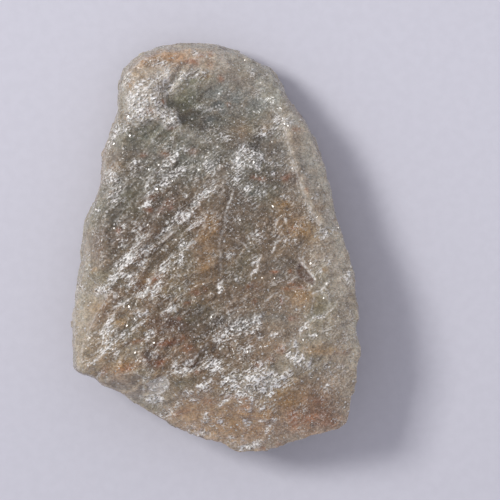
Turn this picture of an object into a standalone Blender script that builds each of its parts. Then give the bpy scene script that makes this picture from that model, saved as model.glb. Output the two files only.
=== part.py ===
"""Rough aventurine: one broken piece of mica-bearing quartz, 50 mm long, lying on its flattest spot.

The stone is a thick wedge. Its girdle outline is lofted into a blank, the blank is broken
back by flat facets, and its upper face gets the ledges, humps, hollows and slanting ribs
that the break left. Lengths are in millimetres until the last step, which turns them into
metres. X runs across the stone, Y along it towards the thin end, Z up.
"""

import math

import bmesh
import bpy
import numpy as np
from mathutils import Matrix, Vector, noise

# Driving dimensions of the finished stone
LENGTH = 50.0
WIDTH = 35.4
HEIGHT = 14.0

# The wedge: heights of its broad face above the table, and how it falls away
THICK_END = 14.2
THICK_END_Y = -15.0
THIN_END = 8.6
THIN_END_Y = 20.0
SIDE_FALL = 0.08  # fall to each side of its crest, per millimetre
CREST_X = 1.0  # where that crest runs

# The girdle's share of the local height: low on the side away from HIGH_SIDE, high towards it
LOW_GIRDLE = 0.42
HIGH_GIRDLE = 0.80
HIGH_SIDE = (0.8, -0.6)
GIRDLE_RISE = 11.0  # the rise lies within this distance of the middle, along HIGH_SIDE

REST_CUT = 0.2  # what the flat rest spot takes off the underside

# The girdle, anticlockwise from the thin end
OUTLINE = (
    (-3.5, 25.1), (-6.9, 24.9), (-9.5, 23.8), (-11.6, 22.0), (-12.2, 19.8), (-12.3, 16.9),
    (-13.0, 14.6), (-14.0, 11.8), (-14.5, 8.2), (-15.2, 6.0), (-16.3, 3.4), (-16.7, 0.4),
    (-16.7, -1.8), (-17.5, -5.0), (-17.8, -9.0), (-17.8, -14.4), (-17.2, -15.1),
    (-14.8, -15.8), (-14.0, -16.6), (-10.8, -18.1), (-8.7, -20.5), (-5.2, -22.9),
    (-2.5, -24.2), (0.8, -25.2), (2.7, -26.7), (5.2, -26.5), (8.3, -24.8), (11.9, -23.2),
    (15.4, -22.5), (16.3, -21.6), (16.8, -18.3), (17.5, -16.2), (17.3, -14.3), (17.7, -12.5),
    (17.1, -10.0), (17.5, -8.4), (16.9, -5.2), (16.8, -2.5), (15.7, 0.2), (15.0, 3.0),
    (14.0, 6.6), (13.3, 9.8), (12.2, 12.6), (11.1, 15.1), (9.3, 17.3), (7.9, 19.9),
    (6.4, 21.9), (3.7, 23.6), (0.4, 24.9),
)
OUTLINE_CENTRE = (0.0, -2.0)

# The side: (level, share of the outline), where level 0 is the underside, 1 the girdle, 2 the face
PROFILE = ((0.0, 0.44), (0.13, 0.70), (0.42, 0.91), (1.0, 1.0), (1.5, 0.985), (2.5, 0.93))

# Breaks on the upper half, each a plane through three points of the stone's surface
UPPER_FACETS = {
    "right sliver": ((8.3, 15.8, 8.7), (12.3, 3.4, 10.2), (13.4, 8.0, 8.3)),
    "right rim": ((13.2, 0.0, 10.8), (14.4, -12.0, 12.5), (17.0, -3.0, 9.8)),
    "thick end slope": ((-6.0, -15.8, 13.9), (11.0, -15.6, 13.5), (4.0, -25.0, 10.2)),
    "thick end left": ((-14.5, -15.0, 12.2), (-6.0, -15.6, 13.6), (-9.5, -19.2, 9.4)),
    "thick end right": ((9.5, -15.6, 13.6), (16.4, -9.5, 11.4), (15.8, -21.4, 10.2)),
    "thin end slope": ((-9.5, 23.2, 8.6), (-0.5, 23.8, 7.4), (-4.5, 25.3, 5.2)),
    "thin end right": ((-0.5, 24.0, 7.2), (7.6, 19.8, 7.2), (6.8, 22.3, 4.6)),
}

# Bevels that bend along the rim: (fall per millimetre, the line they start from, rim on the right)
BEVELS = {
    "left rim": (1.15, (
        (-10.2, 22.4), (-10.8, 18.0), (-11.0, 14.8), (-11.6, 12.0), (-12.5, 9.0), (-13.4, 5.0),
        (-14.2, 0.0), (-14.1, -3.0), (-13.0, -6.0), (-15.5, -10.0), (-17.0, -14.6))),
}

# Chips off the underside: (direction they face and dip, degrees; level of their upper edge)
UNDER_CHIPS = (
    (8, 36, 0.55), (36, 55, 0.4), (66, 32, 0.8), (104, 46, 0.9), (141, 38, 0.75), (176, 50, 0.85),
    (205, 33, 0.7), (232, 48, 0.8), (258, 30, 0.5), (287, 52, 0.45), (312, 34, 0.4), (341, 50, 0.5),
)

# Steps in the upper face: (height, width of the step, reach, its line with the high side on the left)
LEDGES = {
    "hump side": (1.5, 0.35, 4.5, (
        (-1.0, 12.5), (-2.0, 14.0), (-4.1, 15.0), (-4.9, 16.2), (-6.0, 17.0), (-6.6, 19.0),
        (-6.0, 21.0), (-6.2, 22.6))),
    "hump foot": (1.1, 0.45, 3.0, (
        (-12.4, 15.0), (-9.0, 15.3), (-8.0, 16.0), (-7.2, 15.2), (-5.0, 14.9), (-2.5, 14.2))),
    "scoop foot": (0.7, 0.5, 2.6, (
        (8.0, 16.3), (5.2, 15.8), (2.6, 14.9), (0.2, 14.2), (-1.5, 13.2))),
    "sliver edge": (0.8, 0.25, 2.6, (
        (8.3, 15.8), (8.1, 15.0), (8.6, 13.0), (9.2, 11.0), (9.8, 9.0), (10.6, 6.6), (11.6, 4.6),
        (12.9, 2.8), (15.0, 2.0))),
    "crest": (0.6, 0.3, 4.0, ((0.3, -5.4), (0.4, -2.0), (0.3, 1.0), (1.0, 4.0), (1.9, 7.0))),
    "curved step": (0.7, 0.25, 2.2, (
        (10.0, -0.5), (10.1, -1.3), (10.7, -2.2), (11.4, -3.0), (12.0, -3.7), (12.0, -4.6))),
    "slanting step": (0.8, 0.3, 2.6, (
        (-5.5, -14.3), (-3.0, -13.4), (-2.0, -12.8), (-1.3, -11.9), (-0.9, -11.0))),
    "corner step": (0.5, 0.25, 2.4, (
        (-9.0, -18.7), (-8.9, -17.5), (-8.3, -16.5), (-7.3, -15.9), (-5.0, -15.2))),
    "long rib": (0.75, 0.5, 2.4, (
        (-8.0, 2.2), (-9.5, 0.5), (-11.2, -1.8), (-12.5, -3.7), (-14.5, -5.5))),
    "middle rib": (0.65, 0.5, 2.2, (
        (-3.0, 0.9), (-4.2, 0.0), (-5.8, -2.0), (-6.5, -2.7), (-7.2, -4.2), (-8.0, -5.2))),
    "upper rib": (0.5, 0.4, 2.0, (
        (-0.2, 4.7), (-1.8, 3.6), (-3.0, 2.9), (-5.5, 1.8), (-7.2, 0.7))),
    "short rib": (0.45, 0.4, 1.8, ((-1.6, 6.2), (-3.0, 4.4), (-5.2, 3.4))),
    "right rib": (0.5, 0.4, 2.2, (
        (14.8, -6.0), (14.3, -7.0), (12.8, -8.2), (11.5, -8.8), (9.8, -10.2))),
    "low rib": (0.5, 0.4, 2.0, ((-13.2, -8.6), (-13.7, -10.0), (-13.9, -12.4), (-15.4, -13.8))),
}

# Humps and hollows: (x, y, half width, half length, height)
SWELLS = {
    "hump": (-9.2, 18.8, 3.2, 4.4, 1.5),
    "scoop": (2.4, 18.6, 6.2, 3.8, -2.0),
    "scoop bottom": (-1.4, 16.4, 3.0, 2.0, -0.8),
    "green hollow": (-9.4, 12.8, 3.2, 1.8, -1.0),
    "dark hollow": (6.0, 12.8, 2.8, 1.8, -0.6),
    "pale lump": (4.0, 10.4, 2.0, 2.0, 0.7),
    "side hollow": (-12.0, 4.6, 2.6, 3.0, -0.6),
    "dished spot": (-0.4, -9.2, 3.0, 2.6, -1.0),
    "pit by the step": (0.3, -12.6, 1.8, 1.5, -0.6),
    "tan block": (-1.6, -2.0, 2.0, 2.6, 0.4),
    "brown dip": (9.8, -3.6, 1.8, 1.6, -0.5),
    "frosted brow": (5.0, -15.6, 6.0, 1.6, 0.5),
    "rusty swell": (12.0, -19.6, 3.6, 2.2, 0.6),
    "end swell": (-2.0, -20.0, 3.0, 1.8, 0.5),
}

# Slanting ribs: worn steps that climb slowly to the upper left and drop again over RISER_SHARE
RIB_ANGLE = math.radians(38)  # the way they run, from +X
RIB_LENGTH = 6.0
RIB_SPACING = 2.0
RIB_HEIGHT = 0.6
RISER_SHARE = 0.25
RIB_WANDER = 0.9  # in spacings
CALM_SHARE = 0.4  # how much of their height is left on the right half
CALM_EDGE = 3.0  # half the width of the change between the halves

ROUGHNESS = ((4.5, 0.30), (1.9, 0.16))  # (wavelength, height) of the whole skin's noise
FLAT_BELOW = 0.3  # no roughness below this height, so that the rest spot stays flat
ROUGH_ABOVE = 1.5

VOXEL = 0.45
TRIANGLES = 9000
MM = 0.001
SURFACE_COLOUR = (0.29, 0.25, 0.21, 1.0)

FALL = (THICK_END - THIN_END) / (THIN_END_Y - THICK_END_Y)
UP = Vector((0.0, 0.0, 1.0))


def wedge_height(y):
    return THICK_END + FALL * (THICK_END_Y - y)


def girdle_height(x, y):
    towards = np.multiply(x, HIGH_SIDE[0]) + np.multiply(y, HIGH_SIDE[1])
    rise = steps_between(-GIRDLE_RISE, GIRDLE_RISE, towards)
    return wedge_height(y) * (LOW_GIRDLE + (HIGH_GIRDLE - LOW_GIRDLE) * rise)


def lofted_blank():
    """The outline, extruded up through PROFILE, with heights that follow the wedge."""
    bm = bmesh.new()
    underside = bm.faces.new([bm.verts.new((x, y, 0.0)) for x, y in OUTLINE])
    about_centre = Matrix.Translation((-OUTLINE_CENTRE[0], -OUTLINE_CENTRE[1], 0.0))
    below, width_below = PROFILE[0]
    bmesh.ops.scale(bm, vec=(width_below, width_below, 1.0), verts=underside.verts, space=about_centre)
    ring = underside
    for level, width in PROFILE[1:]:
        grown = bmesh.ops.extrude_face_region(bm, geom=[ring])["geom"]
        if ring is not underside:
            bmesh.ops.delete(bm, geom=[ring], context="FACES_ONLY")
        ring = next(item for item in grown if isinstance(item, bmesh.types.BMFace))
        wider = width / width_below
        bmesh.ops.translate(bm, vec=(0.0, 0.0, level - below), verts=ring.verts)
        bmesh.ops.scale(bm, vec=(wider, wider, 1.0), verts=ring.verts, space=about_centre)
        below, width_below = level, width
    for vert in bm.verts:
        girdle = girdle_height(vert.co.x, vert.co.y)
        above = max(vert.co.z - 1.0, 0.0)
        vert.co.z = girdle * min(vert.co.z, 1.0) + (wedge_height(vert.co.y) - girdle) * above
    bmesh.ops.triangulate(bm, faces=bm.faces)
    bmesh.ops.recalc_face_normals(bm, faces=bm.faces)
    return bm


def break_off(bm, point, outward):
    """Removes what lies outside the plane, and closes the stone with a flat facet."""
    geom = bm.verts[:] + bm.edges[:] + bm.faces[:]
    cut = bmesh.ops.bisect_plane(bm, geom=geom, plane_co=point, plane_no=outward, clear_outer=True)
    rim = [item for item in cut["geom_cut"] if isinstance(item, bmesh.types.BMEdge)]
    bmesh.ops.holes_fill(bm, edges=rim)


def upper_planes():
    """(point, outward direction) of each flat facet of the upper half."""
    crest = Vector((CREST_X, THICK_END_Y, THICK_END))
    planes = [(crest, Vector((side * SIDE_FALL, FALL, 1.0))) for side in (-1, 1)]
    for corners in UPPER_FACETS.values():
        a, b, c = (Vector(corner) for corner in corners)
        outward = (b - a).cross(c - a)
        planes.append((a, outward if outward.z > 0 else -outward))
    return planes


def chip_underside(bm):
    """Breaks facets off the underside, each from below the girdle so that the outline stays."""
    for bearing, dip, level in UNDER_CHIPS:
        toward = Matrix.Rotation(math.radians(bearing), 3, "Z") @ Vector((1.0, 0.0, 0.0))
        x, y = max(OUTLINE, key=lambda place: toward.xy.dot(Vector(place)))
        start = Vector((x, y, level * girdle_height(x, y)))
        break_off(bm, start, toward * math.cos(math.radians(dip)) - UP * math.sin(math.radians(dip)))


def steps_between(low, high, value):
    share = np.clip((value - low) / (high - low), 0.0, 1.0)
    return share * share * (3 - 2 * share)


def across_line(places, line):
    """Each place's distance from the line, positive on its left, and how far along it that is."""
    line = np.array(line)
    nearest = np.full(len(places), np.inf)
    side = np.zeros(len(places))
    travelled = np.zeros(len(places))
    before = 0.0
    for start, end in zip(line[:-1], line[1:]):
        run = end - start
        length = math.hypot(*run)
        offset = places - start
        along = np.clip(offset @ run / length**2, 0.0, 1.0)
        gap = np.hypot(*(offset - along[:, None] * run).T)
        closer = gap < nearest
        nearest[closer] = gap[closer]
        side[closer] = np.sign(run[0] * offset[closer, 1] - run[1] * offset[closer, 0])
        travelled[closer] = before + along[closer] * length
        before += length
    return side * nearest, travelled, before


def ledge(places, height, width, reach, line):
    """A step along line that dies away from it on both sides and towards its ends."""
    gap, travelled, length = across_line(places, line)
    to_end = np.minimum(travelled, length - travelled)
    fade = steps_between(-width, min(reach, length / 2), to_end)
    return 0.5 * height * fade * np.tanh(gap / width) * np.exp(-np.abs(gap) / reach)


def bevel(places, fall, line):
    gap = across_line(places, line)[0]
    return fall * np.minimum(gap, 0.0)


def swell(places, x, y, half_width, half_length, height):
    out = ((places[:, 0] - x) / half_width) ** 2 + ((places[:, 1] - y) / half_length) ** 2
    return height * np.exp(-out)


def ribs(places):
    """Height of the slanting ribs, which wander, come and go, and are stronger on the left half."""
    ahead = (places[:, 0] * math.cos(RIB_ANGLE) + places[:, 1] * math.sin(RIB_ANGLE)) / RIB_LENGTH
    across = (places[:, 1] * math.cos(RIB_ANGLE) - places[:, 0] * math.sin(RIB_ANGLE)) / RIB_SPACING
    wander = np.array([noise.noise((u, v / 2, 1.7)) for u, v in zip(ahead, across)])
    strength = np.array([0.5 + noise.noise((u, v / 2, 8.1)) for u, v in zip(ahead, across)])
    phase = (across + RIB_WANDER * wander) % 1.0
    climb = np.minimum(phase / (1.0 - RISER_SHARE), (1.0 - phase) / RISER_SHARE)
    half = CALM_SHARE + (1.0 - CALM_SHARE) * steps_between(CALM_EDGE, -CALM_EDGE, places[:, 0])
    return RIB_HEIGHT * half * np.clip(strength, 0.0, 1.0) * climb


def relief(places):
    """How far the upper face stands above its facets at each (x, y)."""
    total = ribs(places)
    for settings in LEDGES.values():
        total += ledge(places, *settings)
    for settings in SWELLS.values():
        total += swell(places, *settings)
    for settings in BEVELS.values():
        total += bevel(places, *settings)
    return total


def share_above_girdle(points):
    """0 at the girdle and below, 1 on the upper face, so that the sides follow the relief."""
    places = points[:, :2]
    top = np.min([
        point.z - (places - np.array(point.xy)) @ np.array(outward.xy) / outward.z
        for point, outward in upper_planes()
    ], axis=0)
    girdle = girdle_height(*places.T)
    return np.clip((points[:, 2] - girdle) / np.maximum(top - girdle, 1.0), 0.0, 1.0)


def roughness(points):
    """Noise for the whole skin, along its normals."""
    return np.array([
        sum(height * noise.noise(point / wave) for wave, height in ROUGHNESS)
        for point in map(Vector, points)
    ])


def with_modifier(mesh, kind, **settings):
    """The mesh after one modifier."""
    holder = bpy.data.objects.new("holder", mesh)
    bpy.context.collection.objects.link(holder)
    modifier = holder.modifiers.new(kind.title(), kind)
    for name, value in settings.items():
        setattr(modifier, name, value)
    graph = bpy.context.evaluated_depsgraph_get()
    result = bpy.data.meshes.new_from_object(holder.evaluated_get(graph))
    bpy.data.objects.remove(holder)
    bpy.data.meshes.remove(mesh)
    return result


def carve(mesh):
    """Gives the even mesh its relief on top and its roughness all round."""
    count = len(mesh.vertices)
    points = np.empty(count * 3)
    normals = np.empty(count * 3)
    mesh.vertices.foreach_get("co", points)
    mesh.vertex_normals.foreach_get("vector", normals)
    points = points.reshape(-1, 3)
    normals = normals.reshape(-1, 3)
    off_the_flat = steps_between(FLAT_BELOW, ROUGH_ABOVE, points[:, 2])
    moved = points + normals * (off_the_flat * roughness(points))[:, None]
    moved[:, 2] += share_above_girdle(points) * relief(points[:, :2])
    mesh.vertices.foreach_set("co", moved.ravel())
    mesh.update()


def settle(mesh):
    """Cuts the flat rest spot, centres the stone over the origin and brings it to its size in metres."""
    bm = bmesh.new()
    bm.from_mesh(mesh)
    lowest = min(vert.co.z for vert in bm.verts)
    break_off(bm, Vector((0.0, 0.0, lowest + REST_CUT)), Vector((0.0, 0.0, -1.0)))
    bmesh.ops.triangulate(bm, faces=bm.faces)
    bmesh.ops.recalc_face_normals(bm, faces=bm.faces)
    low, high = (
        Vector(extreme(axis) for axis in zip(*(vert.co for vert in bm.verts)))
        for extreme in (min, max)
    )
    bmesh.ops.translate(bm, vec=(-(low.x + high.x) / 2, -(low.y + high.y) / 2, -low.z), verts=bm.verts)
    size = high - low
    to_size = (WIDTH * MM / size.x, LENGTH * MM / size.y, HEIGHT * MM / size.z)
    bmesh.ops.scale(bm, vec=to_size, verts=bm.verts)
    bm.to_mesh(mesh)
    bm.free()


def stone_material():
    """Grey-green to tan quartz: the photographed stone's mean colour, with a waxy, glinting skin."""
    material = bpy.data.materials.new("aventurine")
    material.use_nodes = True
    shader = material.node_tree.nodes["Principled BSDF"]
    shader.inputs["Base Color"].default_value = SURFACE_COLOUR
    shader.inputs["Roughness"].default_value = 0.45
    shader.inputs["Metallic"].default_value = 0.0
    material.diffuse_color = SURFACE_COLOUR
    return material


def build_stone():
    bm = lofted_blank()
    for point, outward in upper_planes():
        break_off(bm, point, outward)
    chip_underside(bm)
    bmesh.ops.triangulate(bm, faces=bm.faces)
    mesh = bpy.data.meshes.new("aventurine_stone")
    bm.to_mesh(mesh)
    bm.free()
    mesh = with_modifier(mesh, "REMESH", mode="VOXEL", voxel_size=VOXEL)
    carve(mesh)
    triangles = sum(len(face.vertices) - 2 for face in mesh.polygons)
    mesh = with_modifier(mesh, "DECIMATE", ratio=TRIANGLES / triangles, use_collapse_triangulate=True)
    settle(mesh)
    mesh.materials.clear()
    mesh.materials.append(stone_material())
    stone = bpy.data.objects.new("aventurine_stone", mesh)
    bpy.context.collection.objects.link(stone)


def main():
    for obj in list(bpy.data.objects):
        bpy.data.objects.remove(obj)
    build_stone()


main()
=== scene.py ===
"""Rough aventurine: the stone's fine broken skin, its mica flakes and a pale sheet under them."""

import math

import bmesh
import bpy
import numpy as np
from bpy.props import FloatProperty, FloatVectorProperty, IntProperty, PointerProperty
from mathutils import Matrix, Vector, noise


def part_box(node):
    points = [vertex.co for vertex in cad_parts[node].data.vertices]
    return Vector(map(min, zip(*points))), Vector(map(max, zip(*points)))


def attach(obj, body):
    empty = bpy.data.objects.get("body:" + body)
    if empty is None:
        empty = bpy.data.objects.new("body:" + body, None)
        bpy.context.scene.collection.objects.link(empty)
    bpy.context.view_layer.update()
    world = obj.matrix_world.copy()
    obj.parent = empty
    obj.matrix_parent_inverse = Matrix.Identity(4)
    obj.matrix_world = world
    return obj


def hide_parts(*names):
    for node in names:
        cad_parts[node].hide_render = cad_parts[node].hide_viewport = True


bl_info = {
    "name": "Rough aventurine",
    "version": (1, 0, 0),
    "blender": (4, 5, 0),
    "location": "View3D > Sidebar > Aventurine",
    "description": "Builds the fine surface of a rough aventurine, its mica flakes and a pale stage",
    "category": "Add Mesh",
}

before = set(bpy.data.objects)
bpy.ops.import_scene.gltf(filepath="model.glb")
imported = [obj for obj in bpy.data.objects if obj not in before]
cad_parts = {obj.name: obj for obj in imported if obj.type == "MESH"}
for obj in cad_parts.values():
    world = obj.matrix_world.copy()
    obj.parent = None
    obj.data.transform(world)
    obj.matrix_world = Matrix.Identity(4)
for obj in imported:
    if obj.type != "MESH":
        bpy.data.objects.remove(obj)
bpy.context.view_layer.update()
STONE_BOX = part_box("aventurine_stone")

MM = 0.001
UP = Vector((0.0, 0.0, 1.0))

# The wedge, in millimetres: heights of its broad face above the table, and how it falls away
THICK_END = 14.2
THICK_END_Y = -15.0
THIN_END = 8.6
THIN_END_Y = 20.0
SIDE_FALL = 0.08
CREST_X = 1.0
FALL = (THICK_END - THIN_END) / (THIN_END_Y - THICK_END_Y)

# The girdle's share of the local height: low on the side away from HIGH_SIDE, high towards it
LOW_GIRDLE = 0.42
HIGH_GIRDLE = 0.80
HIGH_SIDE = (0.8, -0.6)
GIRDLE_RISE = 11.0

REST_CUT = 0.2  # what the flat rest spot takes off the underside

# The girdle, anticlockwise from the thin end
OUTLINE = (
    (-3.5, 25.1), (-6.9, 24.9), (-9.5, 23.8), (-11.6, 22.0), (-12.2, 19.8), (-12.3, 16.9),
    (-13.0, 14.6), (-14.0, 11.8), (-14.5, 8.2), (-15.2, 6.0), (-16.3, 3.4), (-16.7, 0.4),
    (-16.7, -1.8), (-17.5, -5.0), (-17.8, -9.0), (-17.8, -14.4), (-17.2, -15.1),
    (-14.8, -15.8), (-14.0, -16.6), (-10.8, -18.1), (-8.7, -20.5), (-5.2, -22.9),
    (-2.5, -24.2), (0.8, -25.2), (2.7, -26.7), (5.2, -26.5), (8.3, -24.8), (11.9, -23.2),
    (15.4, -22.5), (16.3, -21.6), (16.8, -18.3), (17.5, -16.2), (17.3, -14.3), (17.7, -12.5),
    (17.1, -10.0), (17.5, -8.4), (16.9, -5.2), (16.8, -2.5), (15.7, 0.2), (15.0, 3.0),
    (14.0, 6.6), (13.3, 9.8), (12.2, 12.6), (11.1, 15.1), (9.3, 17.3), (7.9, 19.9),
    (6.4, 21.9), (3.7, 23.6), (0.4, 24.9),
)
OUTLINE_CENTRE = (0.0, -2.0)

# The side: (level, share of the outline), where level 0 is the underside, 1 the girdle, 2 the face
PROFILE = ((0.0, 0.44), (0.13, 0.70), (0.42, 0.91), (1.0, 1.0), (1.5, 0.985), (2.5, 0.93))

# Breaks on the upper half, each a plane through three points of the stone's surface
UPPER_FACETS = {
    "right sliver": ((8.3, 15.8, 8.7), (12.3, 3.4, 10.2), (13.4, 8.0, 8.3)),
    "right rim": ((13.2, 0.0, 10.8), (14.4, -12.0, 12.5), (17.0, -3.0, 9.8)),
    "thick end slope": ((-6.0, -15.8, 13.9), (11.0, -15.6, 13.5), (4.0, -25.0, 10.2)),
    "thick end left": ((-14.5, -15.0, 12.2), (-6.0, -15.6, 13.6), (-9.5, -19.2, 9.4)),
    "thick end right": ((9.5, -15.6, 13.6), (16.4, -9.5, 11.4), (15.8, -21.4, 10.2)),
    "thin end slope": ((-9.5, 23.2, 8.6), (-0.5, 23.8, 7.4), (-4.5, 25.3, 5.2)),
    "thin end right": ((-0.5, 24.0, 7.2), (7.6, 19.8, 7.2), (6.8, 22.3, 4.6)),
}

# Bevels that bend along the rim: (fall per millimetre, the line they start from, rim on the right)
BEVELS = {
    "left rim": (1.15, (
        (-10.2, 22.4), (-10.8, 18.0), (-11.0, 14.8), (-11.6, 12.0), (-12.5, 9.0), (-13.4, 5.0),
        (-14.2, 0.0), (-14.1, -3.0), (-13.0, -6.0), (-15.5, -10.0), (-17.0, -14.6))),
}

# Chips off the underside: (direction they face and dip, degrees; level of their upper edge)
UNDER_CHIPS = (
    (8, 36, 0.55), (36, 55, 0.4), (66, 32, 0.8), (104, 46, 0.9), (141, 38, 0.75), (176, 50, 0.85),
    (205, 33, 0.7), (232, 48, 0.8), (258, 30, 0.5), (287, 52, 0.45), (312, 34, 0.4), (341, 50, 0.5),
)

# Steps in the upper face: (height, width of the step, reach, its line with the high side on the left)
LEDGES = {
    "hump side": (1.2, 0.42, 4.5, (
        (-1.0, 12.5), (-2.0, 14.0), (-4.1, 15.0), (-4.9, 16.2), (-6.0, 17.0), (-6.6, 19.0),
        (-6.0, 21.0), (-6.2, 22.6))),
    "hump foot": (1.1, 0.45, 3.0, (
        (-12.4, 15.0), (-9.0, 15.3), (-8.0, 16.0), (-7.2, 15.2), (-5.0, 14.9), (-2.5, 14.2))),
    "scoop foot": (0.7, 0.5, 2.6, (
        (8.0, 16.3), (5.2, 15.8), (2.6, 14.9), (0.2, 14.2), (-1.5, 13.2))),
    "sliver edge": (0.8, 0.25, 2.6, (
        (8.3, 15.8), (8.1, 15.0), (8.6, 13.0), (9.2, 11.0), (9.8, 9.0), (10.6, 6.6), (11.6, 4.6),
        (12.9, 2.8), (15.0, 2.0))),
    "crest": (0.6, 0.3, 4.0, ((0.3, -5.4), (0.4, -2.0), (0.3, 1.0), (1.0, 4.0), (1.9, 7.0))),
    "curved step": (0.7, 0.25, 2.2, (
        (10.0, -0.5), (10.1, -1.3), (10.7, -2.2), (11.4, -3.0), (12.0, -3.7), (12.0, -4.6))),
    "slanting step": (0.8, 0.3, 2.6, (
        (-5.5, -14.3), (-3.0, -13.4), (-2.0, -12.8), (-1.3, -11.9), (-0.9, -11.0))),
    "corner step": (0.5, 0.25, 2.4, (
        (-9.0, -18.7), (-8.9, -17.5), (-8.3, -16.5), (-7.3, -15.9), (-5.0, -15.2))),
    "long rib": (0.75, 0.5, 2.4, (
        (-8.0, 2.2), (-9.5, 0.5), (-11.2, -1.8), (-12.5, -3.7), (-14.5, -5.5))),
    "middle rib": (0.65, 0.5, 2.2, (
        (-3.0, 0.9), (-4.2, 0.0), (-5.8, -2.0), (-6.5, -2.7), (-7.2, -4.2), (-8.0, -5.2))),
    "upper rib": (0.5, 0.4, 2.0, (
        (-0.2, 4.7), (-1.8, 3.6), (-3.0, 2.9), (-5.5, 1.8), (-7.2, 0.7))),
    "short rib": (0.45, 0.4, 1.8, ((-1.6, 6.2), (-3.0, 4.4), (-5.2, 3.4))),
    "right rib": (0.5, 0.4, 2.2, (
        (14.8, -6.0), (14.3, -7.0), (12.8, -8.2), (11.5, -8.8), (9.8, -10.2))),
    "low rib": (0.5, 0.4, 2.0, ((-13.2, -8.6), (-13.7, -10.0), (-13.9, -12.4), (-15.4, -13.8))),
}

# Humps and hollows: (x, y, half width, half length, height)
SWELLS = {
    "hump": (-9.2, 18.8, 3.2, 4.4, 1.5),
    "scoop": (2.4, 18.6, 6.2, 3.8, -2.0),
    "scoop bottom": (-1.4, 16.4, 3.0, 2.0, -0.8),
    "green hollow": (-9.4, 12.8, 3.2, 1.8, -1.0),
    "dark hollow": (6.0, 12.8, 2.8, 1.8, -0.6),
    "pale lump": (4.0, 10.4, 2.0, 2.0, 0.7),
    "side hollow": (-12.0, 4.6, 2.6, 3.0, -0.6),
    "dished spot": (-0.4, -9.2, 3.0, 2.6, -1.0),
    "pit by the step": (0.3, -12.6, 1.8, 1.5, -0.6),
    "tan block": (-1.6, -2.0, 2.0, 2.6, 0.4),
    "brown dip": (9.8, -3.6, 1.8, 1.6, -0.5),
    "frosted brow": (5.0, -15.6, 6.0, 1.6, 0.5),
    "rusty swell": (12.0, -19.6, 3.6, 2.2, 0.6),
    "end swell": (-2.0, -20.0, 3.0, 1.8, 0.5),
}

# Slanting ribs: worn steps that climb slowly to the upper left and drop again over RISER_SHARE
RIB_ANGLE = math.radians(38)  # from +X
RIB_LENGTH = 6.0
RIB_SPACING = 2.0
RIB_HEIGHT = 0.6
RISER_SHARE = 0.25
RIB_WANDER = 0.9  # in spacings
CALM_SHARE = 0.4  # how much of their height is left on the right half
CALM_EDGE = 3.0  # half the width of the change between the halves

ROUGHNESS = ((4.5, 0.30), (1.9, 0.16))  # (wavelength, height) of the whole skin's noise
FLAT_BELOW = 0.3  # no roughness below this height, so that the rest spot stays flat
ROUGH_ABOVE = 1.5

BLANK_VOXEL = 0.3

# Fine relief: riblets along the ribs, broken grains and grit
RIBLET_LENGTH = 2.6
RIBLET_SPACING = 0.85
RIBLET_HEIGHT = 0.14
RIBLET_SHARPNESS = 2.6
ROUGHER_WAVE = 5.0  # wavelength of the change between rougher and smoother places
GRAINS = ((1.6, 0.11), (0.8, 0.14))  # (size, steepness) of grains with a facet each
LEAN_SHUFFLE = 7.3  # any number that isn't whole, so that neighbouring grains lean differently
GRIT = ((0.6, 0.035), (0.33, 0.025))  # (wavelength, height)
SIDE_SHARE = 0.45  # how much of the fine relief is left on the sides
UNDER_FACETS = ((4.0, 0.13), (1.9, 0.13))  # (size, steepness) of the facets of the lower sides
UNDER_EDGE = (0.1, -0.4)  # upward part of the normal, where those facets begin and are all there
FINE_FLAT_BELOW = 0.12
FINE_ROUGH_ABOVE = 0.5

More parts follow.
